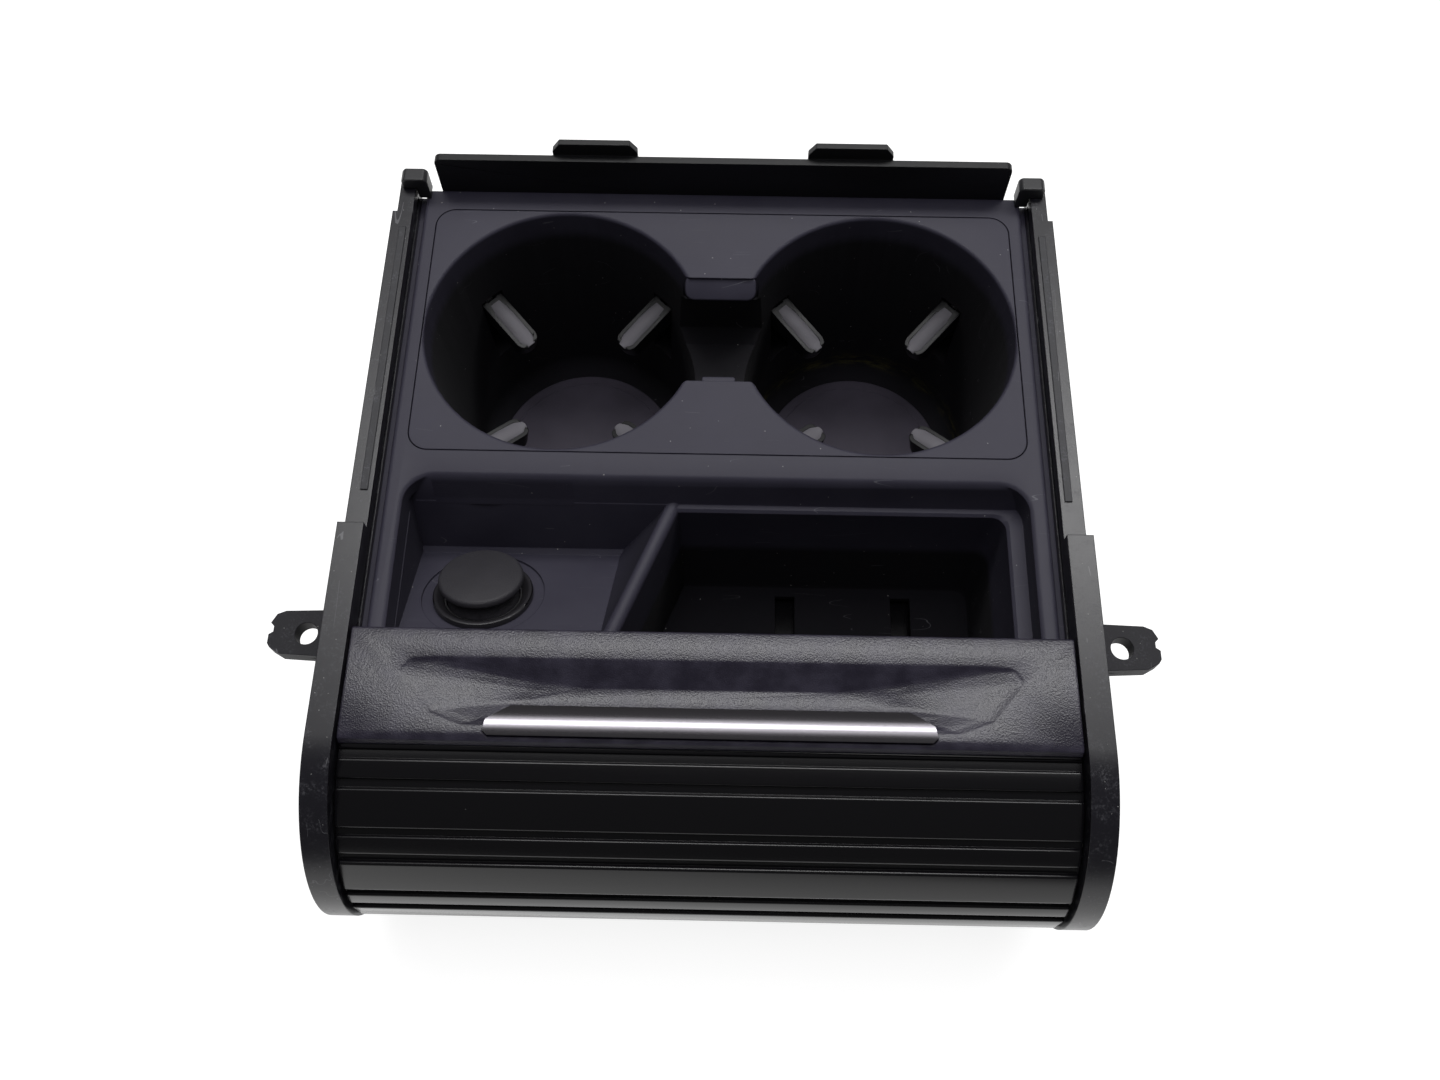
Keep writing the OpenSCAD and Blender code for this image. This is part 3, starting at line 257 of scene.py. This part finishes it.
class Finish(NodeTree):
    """A procedural material."""

    def __init__(self, name):
        self.material = bpy.data.materials.new(name)
        self.material.use_nodes = True
        super().__init__(self.material.node_tree)
        self.shader = self.tree.nodes["Principled BSDF"]
        self.place = self.node("ShaderNodeTexCoord", {}, {}, "Object")

    def set(self, **values):
        """Feeds the shader's own sockets, named with _ for a space."""
        for name, value in values.items():
            self.feed(self.shader.inputs[name.replace("_", " ")], value)
        return self

    def stretched(self, x, y, z):
        """The place on the object, scaled by its own amount along each axis."""
        return self.node("ShaderNodeMapping", {}, {"Vector": self.place, "Scale": (x, y, z)})

    def along(self, axis):
        """The place on the object along X, Y or Z, in metres."""
        return self.node("ShaderNodeSeparateXYZ", {}, {0: self.place}, axis)

    def noise(self, scale, detail=3.0, rough=0.55, where=None):
        sockets = {"Vector": where or self.place, "Scale": scale, "Detail": detail, "Roughness": rough}
        return self.node("ShaderNodeTexNoise", {}, sockets)

    def cells(self, scale, feature="F1", output="Distance"):
        sockets = {"Vector": self.place, "Scale": scale}
        return self.node("ShaderNodeTexVoronoi", {"feature": feature}, sockets, output)

    def mixed(self, share, a, b):
        """A colour between a and b."""
        sockets = {"Factor": share, 6: a, 7: b}
        return self.node("ShaderNodeMix", {"data_type": "RGBA"}, sockets, 2)

    def bump(self, height, depth, under=None):
        """A normal for a height from 0 to 1 that stands for depth metres."""
        sockets = {"Height": height, "Distance": depth, "Strength": 1.0}
        if under is not None:
            sockets["Normal"] = under
        return self.node("ShaderNodeBump", {}, sockets)

    def soft_edges(self, radius):
        """A normal that rounds sharp edges by a small radius."""
        return self.node("ShaderNodeBevel", {"samples": 6}, {"Radius": radius})

    def dust(self, cell, speck, share=0.5):
        """A mask of tiny specks: about one in each cell of the given size, on a share of the cells."""
        spot = self.cells(1 / cell) < speck / cell
        kept = self.node("ShaderNodeSeparateColor", {}, {0: self.cells(1 / cell, output="Color")})
        return spot * (kept < share)

    def scratches(self, scale, where, width=0.004):
        """A mask of thin lines that come and go."""
        lines = abs(self.noise(scale, 1.0, 0.4, where) - 0.5) < width
        return lines * (self.noise(90, 1.0) > 0.6)


def soft_touch(name, colour, lit, shade_below_z, stain_x=1.0):
    """Soft-touch plastic: fine grain, a slight mottle, dust and scratches.

    Below shade_below_z it is painted near-black as painted shade deep in the cups and hollows, and is
    rougher there. Beyond stain_x a drink has left a faint brown tide line low on the wall."""
    finish = Finish(name)
    mottle = finish.noise(60, 4.0, 0.6)
    grain = finish.noise(5200, 2.0, 0.6)
    specks = finish.dust(0.0026, 0.00016, 0.20)
    hairs = finish.scratches(60, finish.stretched(0.3, 3.0, 1.0), 0.0012)
    # Painted shade: the mask falls to 0 below shade_below_z, deep in the cups and hollows
    above_shade = finish.along(2).between(shade_below_z - 0.006, shade_below_z)
    coat = finish.mixed(mottle.between(0.25, 0.75), colour, lit)
    # The near-black colour here is painted shade, the same plastic as above it
    skin = finish.mixed(above_shade, (0.009, 0.0085, 0.011), coat)
    tide = finish.along(2).between(-0.058, -0.055) * (1 - finish.along(2).between(-0.054, -0.049))
    streaky = finish.noise(150, 5.0, 0.7, finish.stretched(1.0, 1.0, 4.0)).between(0.45, 0.65)
    stain = tide * streaky * (finish.along(0) > stain_x)
    stained = finish.mixed(stain, skin, (0.050, 0.045, 0.018))
    worn = finish.mixed(hairs * 0.3, stained, (0.22, 0.22, 0.24))
    dusty = finish.mixed(specks * 0.7, worn, (0.42, 0.41, 0.40))
    finish.set(
        Base_Color=dusty,
        Roughness=0.62 + 0.08 * (mottle - 0.5) + 0.25 * specks + 0.3 * (1 - above_shade),
        Normal=finish.bump(grain, 0.00002, finish.soft_edges(0.0004)),
        Specular_IOR_Level=0.5,
    )
    return finish.material


def rubber(name, colour, roughness=0.7, grain_scale=4200, grain_depth=0.00003):
    """Matt moulded rubber with an even fine grain."""
    finish = Finish(name)
    grain = finish.noise(grain_scale, 1.0, 0.5)
    mottle = finish.noise(140, 3.0)
    pale = tuple(1.35 * c + 0.004 for c in colour)
    specks = finish.dust(0.0018, 0.00007, 0.08)
    skin = finish.mixed(mottle, colour, pale)
    finish.set(
        Base_Color=finish.mixed(specks * 0.5, skin, (0.3, 0.3, 0.29)),
        Roughness=roughness,
        Normal=finish.bump(grain, grain_depth, finish.soft_edges(0.0002)),
    )
    return finish.material


def scuffed_black(name, colour, roughness=0.34, scuffs=0.5, matt_from_x=1.0):
    """Semi-gloss black plastic, mottled by handling, with dust and scuffs."""
    finish = Finish(name)
    mottle = finish.noise(190, 5.0, 0.65)
    flecks = finish.noise(1400, 3.0, 0.7)
    worn = (mottle.between(0.42, 0.72) * flecks.between(0.45, 0.7)).clamped()
    specks = finish.dust(0.0016, 0.00012, 0.30)
    lines = finish.scratches(240, finish.stretched(1.0, 0.06, 1.0), 0.006)
    base = finish.mixed(worn * scuffs, colour, (0.12, 0.12, 0.135))
    marked = finish.mixed(lines * 0.3, base, (0.26, 0.26, 0.28))
    matt = abs(finish.along(0)) > matt_from_x
    finish.set(
        Base_Color=finish.mixed(specks * 0.65, marked, (0.4, 0.4, 0.39)),
        Roughness=roughness + 0.25 * worn + 0.3 * specks + 0.35 * matt,
        Normal=finish.bump(flecks, 0.000012, finish.soft_edges(0.00035)),
    )
    return finish.material


def leather_grain(name):
    """Black plastic with a moulded leather grain."""
    finish = Finish(name)
    pebbles = finish.cells(2900, "SMOOTH_F1")
    waves = finish.noise(1500, 3.0, 0.6)
    height = 0.7 * pebbles + 0.5 * waves
    worn = finish.noise(120, 4.0, 0.6)
    finish.set(
        Base_Color=finish.mixed(worn.between(0.35, 0.7), (0.013, 0.011, 0.021), (0.030, 0.027, 0.043)),
        Roughness=0.27 + 0.12 * worn,
        Normal=finish.bump(height, 0.00009, finish.soft_edges(0.0008)),
        Specular_IOR_Level=0.62,
    )
    return finish.material


def gloss_slats(name):
    """Gloss black lacquer, with faint streaks along the slats."""
    finish = Finish(name)
    streaks = finish.noise(60, 3.0, 0.6, finish.stretched(0.25, 8.0, 8.0))
    specks = finish.dust(0.0030, 0.00008, 0.07)
    finish.set(
        Base_Color=finish.mixed(specks * 0.6, (0.0035, 0.0033, 0.0042), (0.35, 0.35, 0.34)),
        Roughness=0.16 + 0.08 * streaks + 0.3 * specks,
        Normal=finish.soft_edges(0.0002),
        Specular_IOR_Level=0.42,
    )
    return finish.material


def satin_chrome(name):
    """Satin chrome with a very fine brush along the bar."""
    finish = Finish(name)
    brush = finish.noise(900, 2.0, 0.6, finish.stretched(0.02, 1.0, 1.0))
    finish.set(
        Base_Color=(0.25, 0.238, 0.26),
        Metallic=1.0,
        Roughness=0.16 + 0.08 * brush,
        Normal=finish.bump(brush, 0.000006),
    )
    return finish.material


def plain_metal(name, colour, roughness):
    finish = Finish(name)
    tarnish = finish.noise(300, 4.0)
    finish.set(Base_Color=colour, Metallic=1.0, Roughness=roughness + 0.15 * tarnish)
    return finish.material


def smooth_black(name, colour, roughness=0.45):
    """A plain black moulding."""
    finish = Finish(name)
    grain = finish.noise(2600, 2.0)
    mottle = finish.noise(120, 4.0)
    specks = finish.dust(0.0022, 0.00008, 0.07)
    finish.set(
        Base_Color=finish.mixed(specks * 0.5, colour, (0.3, 0.3, 0.3)),
        Roughness=roughness + 0.12 * (mottle - 0.5),
        Normal=finish.bump(grain, 0.000015, finish.soft_edges(0.0003)),
    )
    return finish.material


def make_finishes():
    """All finishes, by the record's material slot."""
    # The height given to each soft-touch moulding is where its painted shade begins, deep in its
    # hollows
    return {
        "soft_tray": soft_touch(
            "soft_tray", (0.026, 0.024, 0.039), (0.032, 0.030, 0.046), shade_below_z=-0.010
        ),
        "soft_insert": soft_touch(
            "soft_insert", (0.025, 0.023, 0.038), (0.031, 0.029, 0.046), shade_below_z=0.014, stain_x=0.010
        ),
        "mat_rubber": rubber("mat_rubber", (0.042, 0.037, 0.052)),
        "finger_black": smooth_black("finger_black", (0.005, 0.005, 0.006), 0.5),
        "pad_rubber": rubber("pad_rubber", (0.090, 0.086, 0.098), 0.62, 5200, 0.00004),
        "steel": plain_metal("steel", (0.55, 0.55, 0.56), 0.3),
        "cheek_black": scuffed_black("cheek_black", (0.009, 0.0085, 0.012), 0.30, 0.5, 0.1005),
        "strip_grey": scuffed_black("strip_grey", (0.022, 0.022, 0.026), 0.55, 0.9),
        "block_black": smooth_black("block_black", (0.016, 0.016, 0.018), 0.42),
        "flange_black": smooth_black("flange_black", (0.004, 0.004, 0.005), 0.5),
        "lead_grained": leather_grain("lead_grained"),
        "satin_chrome": satin_chrome("satin_chrome"),
        "guide_nylon": smooth_black("guide_nylon", (0.05, 0.05, 0.05), 0.4),
        "curtain_gloss": gloss_slats("curtain_gloss"),
        "cover_black": smooth_black("cover_black", (0.010, 0.010, 0.011)),
        "ring_grey": smooth_black("ring_grey", (0.020, 0.019, 0.022), 0.34),
        "brass": plain_metal("brass", (0.60, 0.45, 0.22), 0.3),
        "cap_rubber": rubber("cap_rubber", (0.018, 0.017, 0.021), 0.62, 2600, 0.00009),
        "screw_steel": plain_metal("screw_steel", (0.10, 0.10, 0.105), 0.35),
    }


def dress_nodes(finishes):
    """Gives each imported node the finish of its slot."""
    for part in frame["record"]["subparts"]:
        mesh = nodes[part["node"]].data
        mesh.materials.clear()
        mesh.materials.append(finishes[part["material_slot"]])


def body_of(node):
    bodies = frame["record"]["behaviour"]["bodies"]
    return next(body for body, members in bodies.items() if node in members)


def smooth(mesh, angle=32):
    """Smooth shading, with edges sharper than angle degrees left crisp."""
    if "custom_normal" in mesh.attributes:
        mesh.attributes.remove(mesh.attributes["custom_normal"])
    mesh.polygons.foreach_set("use_smooth", [True] * len(mesh.polygons))
    mesh.set_sharp_from_angle(angle=math.radians(angle))


def softened(node, width=0.0, angle=35):
    """A welded copy that replaces a CAD node, with its sharp edges rounded by width metres."""
    mesh = nodes[node].data.copy()
    work = bmesh.new()
    work.from_mesh(mesh)
    bmesh.ops.remove_doubles(work, verts=work.verts, dist=WELD)
    bmesh.ops.dissolve_limit(work, angle_limit=math.radians(0.8), verts=work.verts, edges=work.edges)
    work.to_mesh(mesh)
    work.free()
    smooth(mesh, angle)
    piece = add_object(node + "_looks", mesh)
    if width:
        soft = piece.modifiers.new("soft_edges", "BEVEL")
        soft.width = width
        soft.segments = 2
        soft.limit_method = "ANGLE"
        soft.angle_limit = math.radians(angle)
        soft.harden_normals = True
    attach(piece, body_of(node))
    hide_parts(node)
    return piece


def rounded_bar(name, length, width, depth, corner, edge):
    """A slat along X: outer face at Z 0, body towards +Z, corners and outer edges rounded."""
    work = bmesh.new()
    bmesh.ops.create_cube(work, size=1)
    for vert in work.verts:
        vert.co = Vector((vert.co.x * length, vert.co.y * width, (vert.co.z + 0.5) * depth))
    upright = [e for e in work.edges if abs(e.verts[0].co.z - e.verts[1].co.z) > depth / 2]
    bmesh.ops.bevel(work, geom=upright, offset=corner, segments=3, profile=0.5, affect="EDGES")
    outer = [e for e in work.edges if max(v.co.z for v in e.verts) < 1e-6]
    bmesh.ops.bevel(work, geom=outer, offset=edge, segments=3, profile=0.5, affect="EDGES")
    mesh = bpy.data.meshes.new(name)
    work.to_mesh(mesh)
    work.free()
    return add_object(name, mesh)


def path_curve(name, points):
    curve = bpy.data.curves.new(name, "CURVE")
    curve.dimensions = "3D"
    line = curve.splines.new("POLY")
    line.points.add(len(points) - 1)
    for place, point in zip(line.points, points):
        place.co = (0.0, *point, 1.0)
    return add_object(name, curve)


def band(name, points, width, depth):
    """A strip of the given width along a path in (Y, Z), with its body to the path's right."""
    work = bmesh.new()
    rings = []
    for i, point in enumerate(points):
        ahead = Vector(points[min(i + 1, len(points) - 1)]) - Vector(points[max(i - 1, 0)])
        inwards = Vector((-ahead.y, ahead.x)).normalized() * depth
        corners = [(-width / 2, 0), (width / 2, 0), (width / 2, 1), (-width / 2, 1)]
        rings.append([
            work.verts.new((x, point[0] + k * inwards.x, point[1] + k * inwards.y))
            for x, k in corners
        ])
    for a, b in zip(rings, rings[1:]):
        for k in range(4):
            work.faces.new((a[k], a[(k + 1) % 4], b[(k + 1) % 4], b[k]))
    work.faces.new(rings[0][::-1])
    work.faces.new(rings[-1])
    bmesh.ops.recalc_face_normals(work, faces=work.faces)
    mesh = bpy.data.meshes.new(name)
    work.to_mesh(mesh)
    work.free()
    return mesh


def joined(name, meshes, material):
    work = bmesh.new()
    for mesh in meshes:
        work.from_mesh(mesh)
    mesh = bpy.data.meshes.new(name)
    work.to_mesh(mesh)
    work.free()
    mesh.materials.append(material)
    smooth(mesh)
    return mesh


def finger_place(number):
    """From a finger's own frame, with its pin at the origin and X to its tip, to the holder's."""
    side = -1 if number <= 4 else 1
    round_cup = Matrix.Rotation(math.radians(45 + 90 * (number - 1)), 4, "Z")
    at_cup = Matrix.Translation((side * CUP_X, CUP_Y, 0)) @ round_cup
    at_pin = Matrix.Translation((FINGER_PIN_R, 0, FINGER_PIN_Z)) @ Matrix.Rotation(math.pi, 4, "Z")
    return at_cup @ at_pin @ Matrix.Rotation(math.radians(FINGER_DROOP), 4, "Y")


def pad_mesh(name):
    """A crowned pad in its finger's own frame, narrower at the root and round at the tip."""
    work = bmesh.new()
    rows = []
    for i in range(PAD_ROWS + 1):
        share = i / PAD_ROWS
        x = PAD_START + (FINGER_L - PAD_START - PAD_TIP_GAP) * share
        round_off = max(0.0, (x - (FINGER_L - FINGER_W / 2)) / (FINGER_W / 2))
        waist = 0.86 + 0.14 * math.sin(math.pi * share)
        half = (PAD_W / 2) * math.sqrt(max(1.0 - round_off ** 2, 0.0)) * waist
        crown = PAD_CROWN * math.sin(math.pi * min(share * 1.15, 1.0)) + PAD_RISE
        low = FINGER_TOP - PAD_SINK
        rows.append([
            work.verts.new((x, half * k, low + (crown + PAD_SINK) * (1 - abs(k) ** 3)))
            for k in PAD_ACROSS
        ])
    for a, b in zip(rows, rows[1:]):
        for k in range(len(PAD_ACROSS) - 1):
            work.faces.new((a[k], b[k], b[k + 1], a[k + 1]))
    extruded = bmesh.ops.extrude_face_region(work, geom=work.faces[:])
    for vert in (g for g in extruded["geom"] if isinstance(g, bmesh.types.BMVert)):
        vert.co.z = FINGER_TOP - PAD_BASE
    bmesh.ops.remove_doubles(work, verts=work.verts, dist=WELD)
    bmesh.ops.recalc_face_normals(work, faces=work.faces)
    mesh = bpy.data.meshes.new(name)
    work.to_mesh(mesh)
    work.free()
    return mesh


def make_fingers(finishes):
    """Soft-edged fingers, and crowned pads on their tops that round off short of the tips."""
    for number in FINGERS:
        softened(f"grip_finger_{number}", 0.0005)
        mesh = pad_mesh(f"pad_{number}")
        mesh.transform(finger_place(number))
        mesh.materials.append(finishes["pad_rubber"])
        smooth(mesh, 50)
        pad = add_object(f"pad_{number}", mesh)
        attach(pad, f"finger_{number}")
        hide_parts(f"grip_pad_{number}")


def make_apron(material):
    """The sloped lip on the far side of the passage between the cups, and the step on its near side."""
    lip = rounded_bar("passage_apron", 0.0212, 0.0076, 0.0014, 0.0026, 0.0005)
    step = rounded_bar("passage_step", 0.0096, 0.0030, 0.0012, 0.0007, 0.0004)
    places = ((lip, (0, 0.1049, 0.0176), 180 + 40), (step, (0, 0.0722, 0.0186), 180))
    for piece, place, tilt in places:
        turn = Matrix.Rotation(math.radians(tilt), 4, "X")
        piece.data.transform(Matrix.Translation(place) @ turn)
        piece.data.materials.append(material)
        smooth(piece.data)
        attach(piece, "frame")


def make_wall_patch(material):
    """Carries the mouth's rear wall across the socket's dish, in the profile of the wall beside it."""
    tray = nodes["tray"].data
    corners = [v.co for v in tray.vertices]
    wall = BVHTree.FromPolygons(corners, [tuple(f.vertices) for f in tray.polygons])
    profile = []
    for i in range(PATCH_ROWS + 1):
        z = PATCH_Z[0] + (PATCH_Z[1] - PATCH_Z[0]) * i / PATCH_ROWS
        hit = wall.ray_cast(Vector((*PROFILE_FROM, z)), Vector((0, 1, 0)))[0]
        profile.append((hit.y - PATCH_LIFT, z))
    work = bmesh.new()
    ends = [[work.verts.new((x, y, z)) for y, z in profile] for x in PATCH_X]
    for i in range(len(profile) - 1):
        work.faces.new((ends[0][i], ends[1][i], ends[1][i + 1], ends[0][i + 1]))
    mesh = bpy.data.meshes.new("wall_patch")
    work.to_mesh(mesh)
    work.free()
    mesh.materials.append(material)
    smooth(mesh)
    patch = add_object("wall_patch", mesh)
    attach(patch, "frame")


def make_handle():
    """The handle bar, its crown leaning to the rear so that its front edge is the higher one."""
    verts = softened("handle_bar").data.vertices
    low, high = (pick(v.co.z for v in verts) for pick in (min, max))
    middle = sum(pick(v.co.y for v in verts) for pick in (min, max)) / 2
    for vert in verts:
        hold = min(1.0, LEAN_ONSET * (vert.co.z - low) / (high - low))
        vert.co.z -= HANDLE_LEAN * (vert.co.y - middle) * hold


def slat_form():
    """Geometry Nodes: equal slats at an even pitch along a path."""
    form = Form("slats_on_path")
    path = form.input("Path", "NodeSocketObject")
    slat = form.input("Slat", "NodeSocketObject")
    first = form.input("First", "NodeSocketFloat")
    pitch = form.input("Pitch", "NodeSocketFloat")
    count = form.input("Count", "NodeSocketInt")
    material = form.input("Material", "NodeSocketMaterial")
    line = form.node("GeometryNodeMeshLine", {}, {"Count": count, "Offset": (0.0, 0.0, 0.0)})
    index = form.node("GeometryNodeInputIndex", {}, {})
    curve = form.node("GeometryNodeObjectInfo", {}, {"Object": path}, "Geometry")
    sample = form.tree.nodes.new("GeometryNodeSampleCurve")
    sample.mode = "LENGTH"
    sample.use_all_curves = True
    form.feed(sample.inputs["Curves"], curve)
    form.feed(sample.inputs["Length"], first + index * pitch)
    sockets = {"Geometry": line, "Position": Wire(form, sample.outputs["Position"])}
    spot = form.node("GeometryNodeSetPosition", {}, sockets)
    axes = {"primary_axis": "X", "secondary_axis": "Y"}
    facing = {0: (1.0, 0.0, 0.0), 1: Wire(form, sample.outputs["Tangent"])}
    turn = form.node("FunctionNodeAxesToRotation", axes, facing)
    shape = form.node("GeometryNodeObjectInfo", {}, {"Object": slat}, "Geometry")
    sockets = {"Points": spot, "Instance": shape, "Rotation": turn}
    form.ends_in(form.node("GeometryNodeInstanceOnPoints", {}, sockets), material)
    return form


def nose_point(arc, inside=0.0):
    """The shutter's path in (Y, Z) at this arc length from the nose's top, moved inside its face."""
    radius = NOSE_R - inside
    if arc > math.pi * NOSE_R:
        return (NOSE_Y + arc - math.pi * NOSE_R, NOSE_Z - radius)
    turn = arc / NOSE_R
    return (NOSE_Y - radius * math.sin(turn), NOSE_Z + radius * math.cos(turn))


def make_shutter(material):
    """The slats round the nose, and the level run, built in its closed place and pressed together at
    the lead panel's front.
    """
    form = slat_form()
    narrow = rounded_bar("narrow", SHUTTER_W, NARROW_W, SLAT_DEPTH, 0.0008, SLAT_EDGE)
    wide = rounded_bar("wide", SHUTTER_W, WIDE_W, SLAT_DEPTH, 0.0008, SLAT_EDGE)
    start = rounded_bar("start", SHUTTER_W, FIRST_GROOVE, SLAT_DEPTH, 0.0003, SLAT_EDGE)
    narrow_at = FIRST_GROOVE + GROOVE_W + NARROW_W / 2
    wide_at = FIRST_GROOVE + 2 * GROOVE_W + NARROW_W + WIDE_W / 2
    steps = 128

    around = [CURTAIN_L * i / steps for i in range(steps + 1)]
    rows = [(start, FIRST_GROOVE / 2, 1), (narrow, narrow_at, 10), (wide, wide_at, 9)]
    slats = slats_on([nose_point(arc, SLAT_INSET) for arc in around], rows, form, material)
    web = band("web", [nose_point(arc, WEB_INSET) for arc in around], SHUTTER_W, SLAT_DEPTH)
    round_nose = add_object("shutter_slats", joined("shutter_slats", [*slats, web], material))
    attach(round_nose, "frame")
    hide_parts("shutter_curtain")

    # The level run in its closed place, then pressed together inside the lead panel's front
    level = [(NOSE_Y + TRAVEL * (1 - i / 8), NOSE_Z + NOSE_R - SLAT_INSET) for i in range(9)]
    count = int(TRAVEL / SLAT_PITCH)
    lead_in = TRAVEL - count * SLAT_PITCH
    rows = [
        (narrow, lead_in - WIDE_W - GROOVE_W - NARROW_W / 2 + SLAT_PITCH, count),
        (wide, lead_in - WIDE_W / 2 + SLAT_PITCH, count),
    ]
    slats = slats_on(level, rows, form, material)
    web = band("level_web", [(y, z - 0.0011) for y, z in level], SHUTTER_W, SLAT_DEPTH)
    run = joined("shutter_run", [*slats, web], material)
    for vert in run.vertices:
        share = min(max((vert.co.y - NOSE_Y) / TRAVEL, 0.0), 1.0)
        along = 0.5 - math.sin(math.asin(1 - 2 * share) / 3)
        vert.co.y = RUN_REST_Y + RUN_REST_L * along
    follows = add_object("shutter_run", run)
    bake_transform(follows)
    for helper in (narrow, wide, start):
        bpy.data.objects.remove(helper)


def slats_on(points, rows, form, material):
    """Meshes of slats along a path in (Y, Z), given as rows of (slat, first place, count)."""
    path = path_curve("slats_path", points)
    shared = {"Path": path, "Pitch": SLAT_PITCH, "Material": material}
    made = [
        form.mesh({**shared, "Slat": slat, "First": first, "Count": count})
        for slat, first, count in rows
    ]
    bpy.data.objects.remove(path)
    return made


def make_camera():
    camera = add_object("camera", bpy.data.cameras.new("camera"))
    camera.location = CAMERA_PLACE
    camera.rotation_euler = Euler(CAMERA_TURN)
    camera.data.lens = CAMERA_LENS
    camera.data.sensor_width = 36.0
    camera.data.clip_start = 0.01
    bpy.context.scene.camera = camera


def panel_lamp(name, back, side, distance, size, radiance):
    """A soft rectangular lamp, back and side degrees off the zenith, that faces the holder."""
    lamp = bpy.data.lights.new(name, "AREA")
    lamp.shape = "RECTANGLE"
    lamp.size, lamp.size_y = size
    lamp.energy = math.pi * size[0] * size[1] * radiance
    stand = add_object(name, lamp)
    tilt = Euler((-math.radians(back), math.radians(side), 0.0))
    stand.rotation_euler = tilt
    stand.location = Vector((0, 0.03, 0)) + tilt.to_matrix() @ Vector((0, 0, distance))
    return stand


def paper_white():
    """White paper for the floor: a diffuse white that the camera sees at full brightness."""
    finish = Finish("paper_white")
    path = finish.tree.nodes.new("ShaderNodeLightPath")
    camera_ray = Wire(finish, path.outputs["Is Camera Ray"])
    seen = camera_ray.math("MAXIMUM", Wire(finish, path.outputs["Is Glossy Ray"]))
    finish.set(
        Base_Color=(0.40, 0.40, 0.40),
        Roughness=0.9,
        Emission_Color=finish.mixed(seen, (0.0, 0.0, 0.0), (0.85, 0.85, 0.85)),
        Emission_Strength=1.0,
    )
    return finish.material


def make_floor():
    low = CAD_BOX[0].z
    reach = 3.0
    mesh = bpy.data.meshes.new("floor")
    corners = [(-reach, -reach, low), (reach, -reach, low), (reach, reach, low), (-reach, reach, low)]
    mesh.from_pydata(corners, [], [(0, 1, 2, 3)])
    mesh.materials.append(paper_white())
    add_object("floor", mesh)


def make_lights():
    panel_lamp("lamp_wide", 24, 3, 1.25, (1.7, 0.80), 1.3)
    panel_lamp("lamp_core", 24.5, 6, 1.20, (1.1, 0.24), 7.5)
    fill = panel_lamp("lamp_fill", -4, 0, 1.20, (0.5, 0.5), 6.0)
    fill.visible_glossy = False
    world = bpy.data.worlds.new("studio")
    bpy.context.scene.world = world
    world.use_nodes = True
    ground = world.node_tree.nodes["Background"]
    ground.inputs["Color"].default_value = (1.0, 1.0, 1.0, 1.0)
    ground.inputs["Strength"].default_value = 0.10
    bpy.context.scene.view_settings.view_transform = "Standard"


make_camera()
make_floor()
make_lights()
finishes = make_finishes()
dress_nodes(finishes)
make_shutter(finishes["curtain_gloss"])
softened("lead_panel", angle=28)
softened("tray", 0.0004)
softened("cup_insert", 0.0006)
softened("socket_ring", 0.0003)
softened("socket_cap", 0.0004)
softened("rear_flange", 0.0004)
for side in SIDES:
    softened(f"cheek_{side}", 0.0004)
    softened(f"end_block_{side}", 0.0005)
make_apron(finishes["soft_insert"])
make_wall_patch(finishes["soft_tray"])
make_fingers(finishes)
make_handle()
